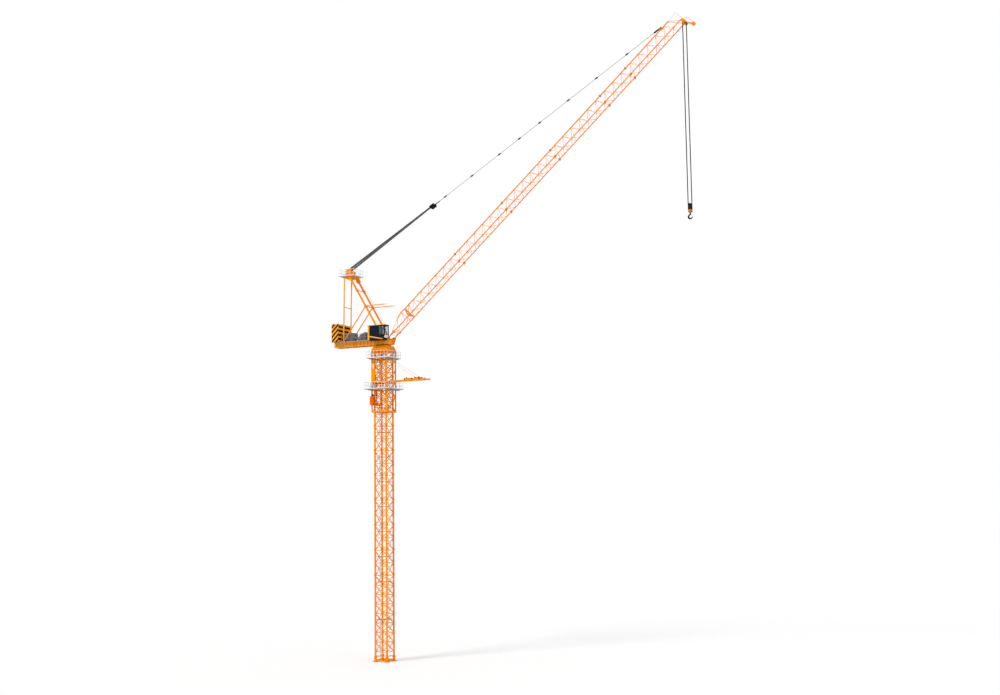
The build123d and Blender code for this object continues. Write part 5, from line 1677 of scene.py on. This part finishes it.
@dataclass
class JibDressing(Dressing):
    """Joint pins and brackets, top-chord posts with a life line, head rails and guard of the jib.

    Attributes:
        joints: Places of the joints along the jib.
        half: Half the spacing of the lower chords.
        depth: Height of the top chord above them.
        pitch: Distance between posts of the life line.
        axle: Axis of the head's sheaves, along the jib and up.
    """

    joints: tuple[float, ...] = (1577.0, 2605.0, 3633.0, 4661.0, 5175.0)
    half: float = 84.0
    depth: float = 165.0
    pitch: float = 514.0
    axle: tuple[float, float] = (6172.0, -22.0)

    def build(self) -> None:
        """Makes the pieces."""
        pins, steel = Shape(JIB), Shape(JIB)
        for side, above in ((-self.half, 0), (self.half, 0), (0, self.depth)):
            places = lattice(self.joints, side, above)
            wide = 13.4 if side < 0 else 11.4
            ends = ((-15, 9), (-14, wide), (-2, wide), (-1, wide - 1))
            collar = ends + tuple((-place, radius) for place, radius in ends[::-1])
            steel.lathe(collar, ZERO, Facing.FORE, 18, places)
            pins.rods((-7, 0, -17.5, -7, 0, 17.5, 3.4, 14), (7, 0, -17.5, 7, 0, 17.5, 3.4, 14), places=places)
            pins.blocks(
                (-11.5, -4.6, 15.2, 11.5, 4.6, 17, 0.4),
                (-11.5, -4.6, -17, 11.5, 4.6, -15.2, 0.4),
                places=places,
            )
        for side in SIDES:
            edge = side * self.half
            steel.blocks((-20, edge - 5, -22, -4, edge + 5, -7, 1), places=lattice(self.joints, 0, 0))
            steel.rods((446, side * 6, 158, 446, side * 78, 12, 9.6, 16))
            steel.blocks((106, edge - 12, -13, 140, edge + 12, 14, 1.4))
        steel.piece("jib_joint_collars", self.finishes["jib"], "jib")
        pins.piece("jib_joint_pins", self.finishes["black"], "jib")
        self.rails()
        self.head()

    def rails(self) -> None:
        """Posts on the top chord and the life line that sags between them."""
        rails = Shape(JIB)
        posts = lattice(np.arange(620, 6000, self.pitch), 0, self.depth + 8)
        rails.rods((0, 0, 0, 0, 0, 52, 1.5, 8), places=posts)
        rails.blocks((-5, -5, -1.5, 5, 5, 1.2, 0.4), places=posts)
        along = np.linspace(620, 5760, 220)
        sag = 3 * np.sin(math.pi * ((along - 620) / self.pitch % 1))
        rails.add(swept(np.column_stack((along, np.zeros(220), self.depth + 57 - sag)), 0.7, 6))
        rails.piece("jib_rails", self.finishes["rail"], "jib")

    def head(self) -> None:
        """Rail, guard bows, sheaves, hub caps and bolts of the jib's head."""
        head = Shape(JIB).rods((6026, 0, 166, 6181, 0, 176, 1.8, 8), (6181, 0, 176, 6186, 0, 2, 1.8, 8))
        for edge in (-14, 14):
            bow = bend((6190, edge, 20), (6246, edge, 14), (6250, edge, -60), (6254, edge, -122))
            head.add(swept(bow, 1.5, 8))
        for reach, level in ((6239.5, -13.5), (6243, -45)):
            head.rods((reach, -14, level, reach, 14, level, 1.2, 8))
        rim = grooved((4, 26.2), (3.4, 26.8), (2.7, 26.2), (1.8, 23.8), (0, 23.2))
        place, level = self.axle
        head.lathe(rim, ZERO, Facing.FAR, 40, lattice(place, (-11, 11), level))
        hub = ((0, 12), (2.5, 12), (3.5, 10.4), (3.6, 5), (6, 4.6))
        for side, facing in ACROSS:
            head.lathe(hub, (place, side * 37.5, level), facing, 22)
            head.bolts(lattice((6226, 6250), side * 17, (-153, -129)), facing, 2.6)
            head.bolts(lattice((5884, 5908), side * 3.5, 168), facing, 2.4)
        head.piece("jib_head_sheaves", self.finishes["jib"], "jib")


@dataclass
class LuffingLine(Dressing):
    """Laid falls of the luffing tackle, block sheaves and the couplings of the pendant line.

    Attributes:
        length: Length of the falls.
        start: Place where the pendant line leaves the block.
        end: Place of its pin in the jib's lug.
        shares: Places of the couplings as shares of the pendant line.
        rope: Radius of the rope.
    """

    length: float = 1624.0
    start: float = 1698.0
    end: float = 5833.8
    shares: tuple[float, ...] = (0.05, 0.174, 0.3, 0.391, 0.482, 0.608, 0.73, 0.86)
    rope: float = 3.1

    def build(self) -> None:
        """Makes the pieces."""
        falls = Shape(LINE)
        part = np.linspace(0, 1, 300)[:, None]
        for number in (-2, -1, 0, 1, 2):
            for lift, drop in ((29.3, 15), (-8, 8)):
                first = np.array((0, number * 13, lift))
                last = np.array((self.length - 1, number * 8, drop))
                falls.add(laid(first * (1 - part) + last * part, self.rope))
        rope = falls.piece("luffing_falls", self.finishes["falls"], "")
        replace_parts(rope, "luffing_ropes")
        ends = (LINE.origin + LINE.axes[0] * reach for reach in (60, self.length - 60))
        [tuple(point * MILLIMETRE) for point in ends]
        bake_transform(rope)
        cheeks = Shape(LINE)
        for side, facing in ACROSS:
            cheeks.blocks((1618, side * 34, -24, 1704, side * 38, 24, 1.6))
            cheeks.bolts(lattice((1640, 1661, 1684), side * 38, (-14, 14)), facing, 3.2)
            cheeks.lathe(((0, 9), (3, 9), (4, 7.6)), (1661, side * 38, 0), facing, 22)
        rim = grooved((3.4, 24.4), (2.6, 24.8), (1.5, 22.8), (0, 22.2))
        cheeks.lathe(rim, ZERO, Facing.FAR, 36, lattice(1646, np.arange(-18, 19, 9), 0))
        cheeks.piece("travelling_block_cheeks", self.finishes["black"], "pendants")
        self.couplings()

    def couplings(self) -> None:
        """Couplings along the pendant line, its sleeve at the block and its fork at the jib."""
        couplings = Shape(LINE)
        middles = self.start + (self.end - self.start) * np.array(self.shares)
        places = lattice(middles, 0, 0)
        couplings.rods((-9, -12, 0, -9, 12, 0, 3.2, 14), (9, -12, 0, 9, 12, 0, 3.2, 14), places=places)
        couplings.lathe(((-30, 4.3), (-27, 6.4), (27, 6.4), (30, 4.3)), ZERO, Facing.FORE, 16, places)
        for side in SIDES:
            couplings.blocks((-16, side * 6.8, -8, 16, side * 9.4, 8, 1), places=places)
            couplings.blocks((5736, side * 7, -8.5, 5844, side * 10, 8.5, 1.2))
            couplings.rods((self.end, side * 3.8, 0, self.end, side * 14, 0, 6, 18))
        couplings.blocks((5720, -10, -7.5, 5748, 10, 7.5, 1.6))
        sleeve = ((1696, 9), (1716, 9), (1724, 7), (1790, 6.6), (1798, 4.4))
        couplings.lathe(sleeve, ZERO, Facing.FORE, 16)
        couplings.piece("pendant_couplings", self.finishes["black"], "pendants")


@dataclass
class HoistLine(Dressing):
    """Laid hoist falls that stretch between the jib's head and the hook block.

    Attributes:
        centre: Place of their middle along the crane and height of their upper end.
        low: Height of their lower end.
        rope: Radius of the rope.
    """

    centre: tuple[float, float] = (4813.5, 8752.6)
    low: float = 6202.0
    rope: float = 3.5

    def build(self) -> None:
        """Makes the piece."""
        place, high = self.centre
        line = lattice(place, 0, np.linspace(high, self.low, 430))
        falls = Shape().add(laid(line, self.rope), lattice((-26.3, 26.3), (-11, 11), 0))
        rope = falls.piece("hoist_falls", self.finishes["rope"], "")
        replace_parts(rope, "hoist_ropes")
        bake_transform(rope)


@dataclass
class HookDressing(Dressing):
    """Block sheaves, cheek bolts and weights, and the forged hook with its latch.

    Attributes:
        middle: Place of the hook's axis.
        bowl: Height of the middle of the hook's bowl.
        axle: Height of the sheaves' axis.
        neck: Radius of the hook's neck.
    """

    middle: float = 4813.5
    bowl: float = 6043.0
    axle: float = 6202.0
    neck: float = 8.8

    def build(self) -> None:
        """Makes the pieces."""
        axis = Frame(np.array((self.middle, 0.0, 0.0)), np.eye(3))
        sheaves, weights = Shape(axis), Shape(axis)
        rim = grooved((4, 25.4), (3.4, 26), (2.7, 25.4), (1.8, 23.4), (0, 23.1))
        sheaves.lathe(rim, ZERO, Facing.FAR, 40, lattice(0, (-11, 11), self.axle))
        for side, facing in ACROSS:
            sheaves.lathe(((0, 9), (3, 9), (4, 7.6)), (0, side * 23, self.axle), facing, 22)
            sheaves.bolts(lattice((-16, 16), side * 23, (6128, 6150, 6176)), facing, 2.6)
            weights.blocks((-22, side * 23.2, 6106, 22, side * 30, 6138, 3))
            weights.bolts(lattice((-12, 12), side * 30, (6115, 6130)), facing, 2.2)
        sheaves.piece("hook_block_sheaves", self.finishes["black"], "hook_block")
        weights.lathe(((0, 15), (3, 17), (8, 17), (11, 12)), (0, 0, 6104), Facing.DOWN, 28)
        weights.piece("hook_block_weights", self.finishes["block"], "hook_block")
        forged = Shape(axis).add(self.forging())
        forged.lathe(((0, 12.5), (2, 13.6), (9, 13.6), (11, 11)), (0, 0, 6092), Facing.UP, 6)
        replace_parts(forged.piece("forged_hook", self.finishes["black"], "hook"), "hook")
        tongue = bend((6, 0, 6074), (16, 0, 6068), (23, 0, 6056), (29, 0, 6040.5))
        latch = Shape(axis).add(swept(tongue, 2.5, 12)).rods((6.5, -8, 6074, 6.5, 8, 6074, 2.6, 12))
        latch.piece("hook_latch", self.finishes["plate"], "hook")

    def forging(self) -> Form:
        """Neck and bowl of the hook: the bowl widens and thins towards its tip.

        Returns:
            The form, with the hook's axis at zero.
        """
        part = np.linspace(0, 1, 90)
        angle = np.linspace(math.pi / 2, math.pi / 2 + math.radians(262), 90)
        reach = 27 + 3.5 * np.clip((part - 0.82) / 0.18, 0, 1) ** 2
        thick = np.interp(part, (0, 0.12, 0.35, 0.6, 0.85, 1), (self.neck, 9.2, 10.6, 11, 8.2, 3.4))
        bowl = np.column_stack((reach * np.cos(angle), np.zeros(90), self.bowl + reach * np.sin(angle)))
        neck = lattice(0, 0, np.linspace(6104, 6072, 24))
        path = np.concatenate((neck, bowl[3:]))
        return swept(path, np.concatenate((np.full(24, self.neck), thick[3:])), 22)


@dataclass
class Stage:
    """Floor, lights and camera.

    Attributes:
        camera_place: Place of the camera in metres.
        focal_pixels: Focal length in pixels of a picture that is IMAGE_WIDTH wide.
        yaw: Turn of the view about Z from +Y, in radians.
        pitch: Rise of the view.
        roll: Turn of the picture about the view.
    """

    camera_place: Point = (10.196, -16.695, 2.300)
    focal_pixels: float = 1316.4
    yaw: float = -0.4595
    pitch: float = 0.1154
    roll: float = -0.0140

    def camera(self) -> None:
        """Sets the camera: yaw about Z from +Y, then pitch up, then roll about the view."""
        level, rise = math.cos(self.pitch), math.sin(self.pitch)
        forward = np.array((level * math.sin(self.yaw), level * math.cos(self.yaw), rise))
        right = np.array((math.cos(self.yaw), -math.sin(self.yaw), 0.0))
        above = np.cross(right, forward)
        turn, lean = math.cos(self.roll), math.sin(self.roll)
        right, above = turn * right + lean * above, -lean * right + turn * above
        data = bpy.data.cameras.new("view")
        data.sensor_width = 36.0
        data.lens = self.focal_pixels / IMAGE_WIDTH * data.sensor_width
        data.clip_end = 400.0
        eye = bpy.data.objects.new("view", data)
        bpy.context.scene.collection.objects.link(eye)
        placed = np.eye(4)
        placed[:3] = np.column_stack((right, above, -forward, self.camera_place))
        eye.matrix_world = Matrix(placed.tolist())
        bpy.context.scene.camera = eye

    def lights(self) -> None:
        """Soft key from the near left, weak fill, and a white sky.

        The sky is at full strength only for what the camera sees, directly, mirrored or through glass.
        """
        for name, direction, strength, angle in (
            ("key", (0.35, 0.8, -0.75), 1.5, 0.35),
            ("fill", (-0.9, 0.25, -0.35), 0.35, 0.9),
        ):
            data = bpy.data.lights.new(name, "SUN")
            data.energy = strength
            data.angle = angle
            lamp = bpy.data.objects.new(name, data)
            lamp.rotation_euler = Vector(direction).to_track_quat("-Z", "Y").to_euler()
            bpy.context.scene.collection.objects.link(lamp)
        world = bpy.data.worlds.new("sky")
        world.use_nodes = True
        bpy.context.scene.world = world
        wiring = Wiring(world.node_tree)
        back = world.node_tree.nodes["Background"]
        wiring.feed(back.inputs["Color"], (1.0, 1.0, 1.0))
        path = wiring.node("ShaderNodeLightPath").outputs
        seen = wiring.sum_of("MAXIMUM", path["Is Camera Ray"], path["Is Glossy Ray"])
        clear = wiring.sum_of("MAXIMUM", seen, path["Is Transmission Ray"])
        wiring.feed(back.inputs["Strength"], wiring.ramp(clear, 0.0, 1.0, 0.6, 1.0))

    def floor(self) -> None:
        """Plain pale floor that takes the shadow."""
        mesh = bpy.data.meshes.new("floor")
        corners = 150.0 * np.array(((-1, -1, 0), (1, -1, 0), (1, 1, 0), (-1, 1, 0)))
        mesh.from_pydata(corners.tolist(), [], [(0, 1, 2, 3)])
        floor = bpy.data.objects.new("floor", mesh)
        nodes = Nodes("floor_white")
        nodes.put("Base Color", (0.86, 0.86, 0.86))
        nodes.put("Roughness", 1.0)
        nodes.put("Specular IOR Level", 0.0)
        nodes.put("Emission Color", (1.0, 1.0, 1.0))
        seen = nodes.node("ShaderNodeLightPath").outputs["Is Camera Ray"]
        nodes.put("Emission Strength", nodes.sum_of("MULTIPLY", seen, 0.185))
        mesh.materials.append(nodes.material)
        bpy.context.scene.collection.objects.link(floor)

    def build(self) -> None:
        """Makes the whole stage."""
        self.camera()
        self.lights()
        self.floor()
        bpy.context.scene.view_settings.view_transform = "Standard"


# CAD nodes of each finish.
NODE_FINISHES = {
    "jib": ("jib_heel", "jib_head", "tip_sheaves"),
    "leg": ("aframe_front_legs", "aframe_head", "backstop_arms"),
    "pale": ("aframe_rear_legs",),
    "access": ("mast_access",),
    "lower_deck": ("lower_deck",),
    "upper_deck": ("upper_deck",),
    "head_deck": ("head_deck",),
    "walkway": ("side_walkway",),
    "red": ("climbing_ram", "climbing_yoke"),
    "unit": ("hydraulic_unit",),
    "white": ("control_box", "electric_cabinet"),
    "hazard": ("counterweight",),
    "winch": ("luffing_winch", "hoist_winch"),
    "drum": ("luffing_drum", "hoist_drum"),
    "navy": ("cab_shell",),
    "amber": ("cab_roof",),
    "pane": ("cab_near_glass", "cab_inner_glass", "cab_front_glass"),
    "seat": ("cab_seat",),
    "plate": ("pendant_line",),
    "black": ("travelling_block", "hook"),
    "rope": ("luffing_ropes", "hoist_ropes"),
    "block": ("hook_block",),
    # The counter-jib takes the lightened orange, which has light painted in.
    "girder": ("counter_jib",),
}


def paint_nodes(frame: dict, finishes: dict[str, Finish]) -> None:
    """Gives every carried-over node its finish; what isn't listed is jib orange or mast orange.

    Args:
        frame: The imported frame.
        finishes: The crane's finishes by name.
    """
    chosen = {name: key for key, names in NODE_FINISHES.items() for name in names}
    for name, node in frame["nodes"].items():
        key = chosen.get(name, "jib" if name.startswith("jib_section") else "mast")
        node.data.materials.clear()
        node.data.materials.append(finishes[key].material)


DRESSINGS = (
    MastDressing,
    CageDressing,
    SlewingDressing,
    CounterJibDressing,
    WinchDressing,
    CabDressing,
    AFrameDressing,
    JibDressing,
    LuffingLine,
    HoistLine,
    HookDressing,
)


def main() -> None:
    """Loads the frame, dresses it and closes the scene."""
    logging.basicConfig(level=logging.INFO)
    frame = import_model()
    finishes = all_finishes()
    paint_nodes(frame, finishes)
    for dressing in DRESSINGS:
        dressing(finishes).build()
    Stage().build()


if __name__ == "__main__":
    main()
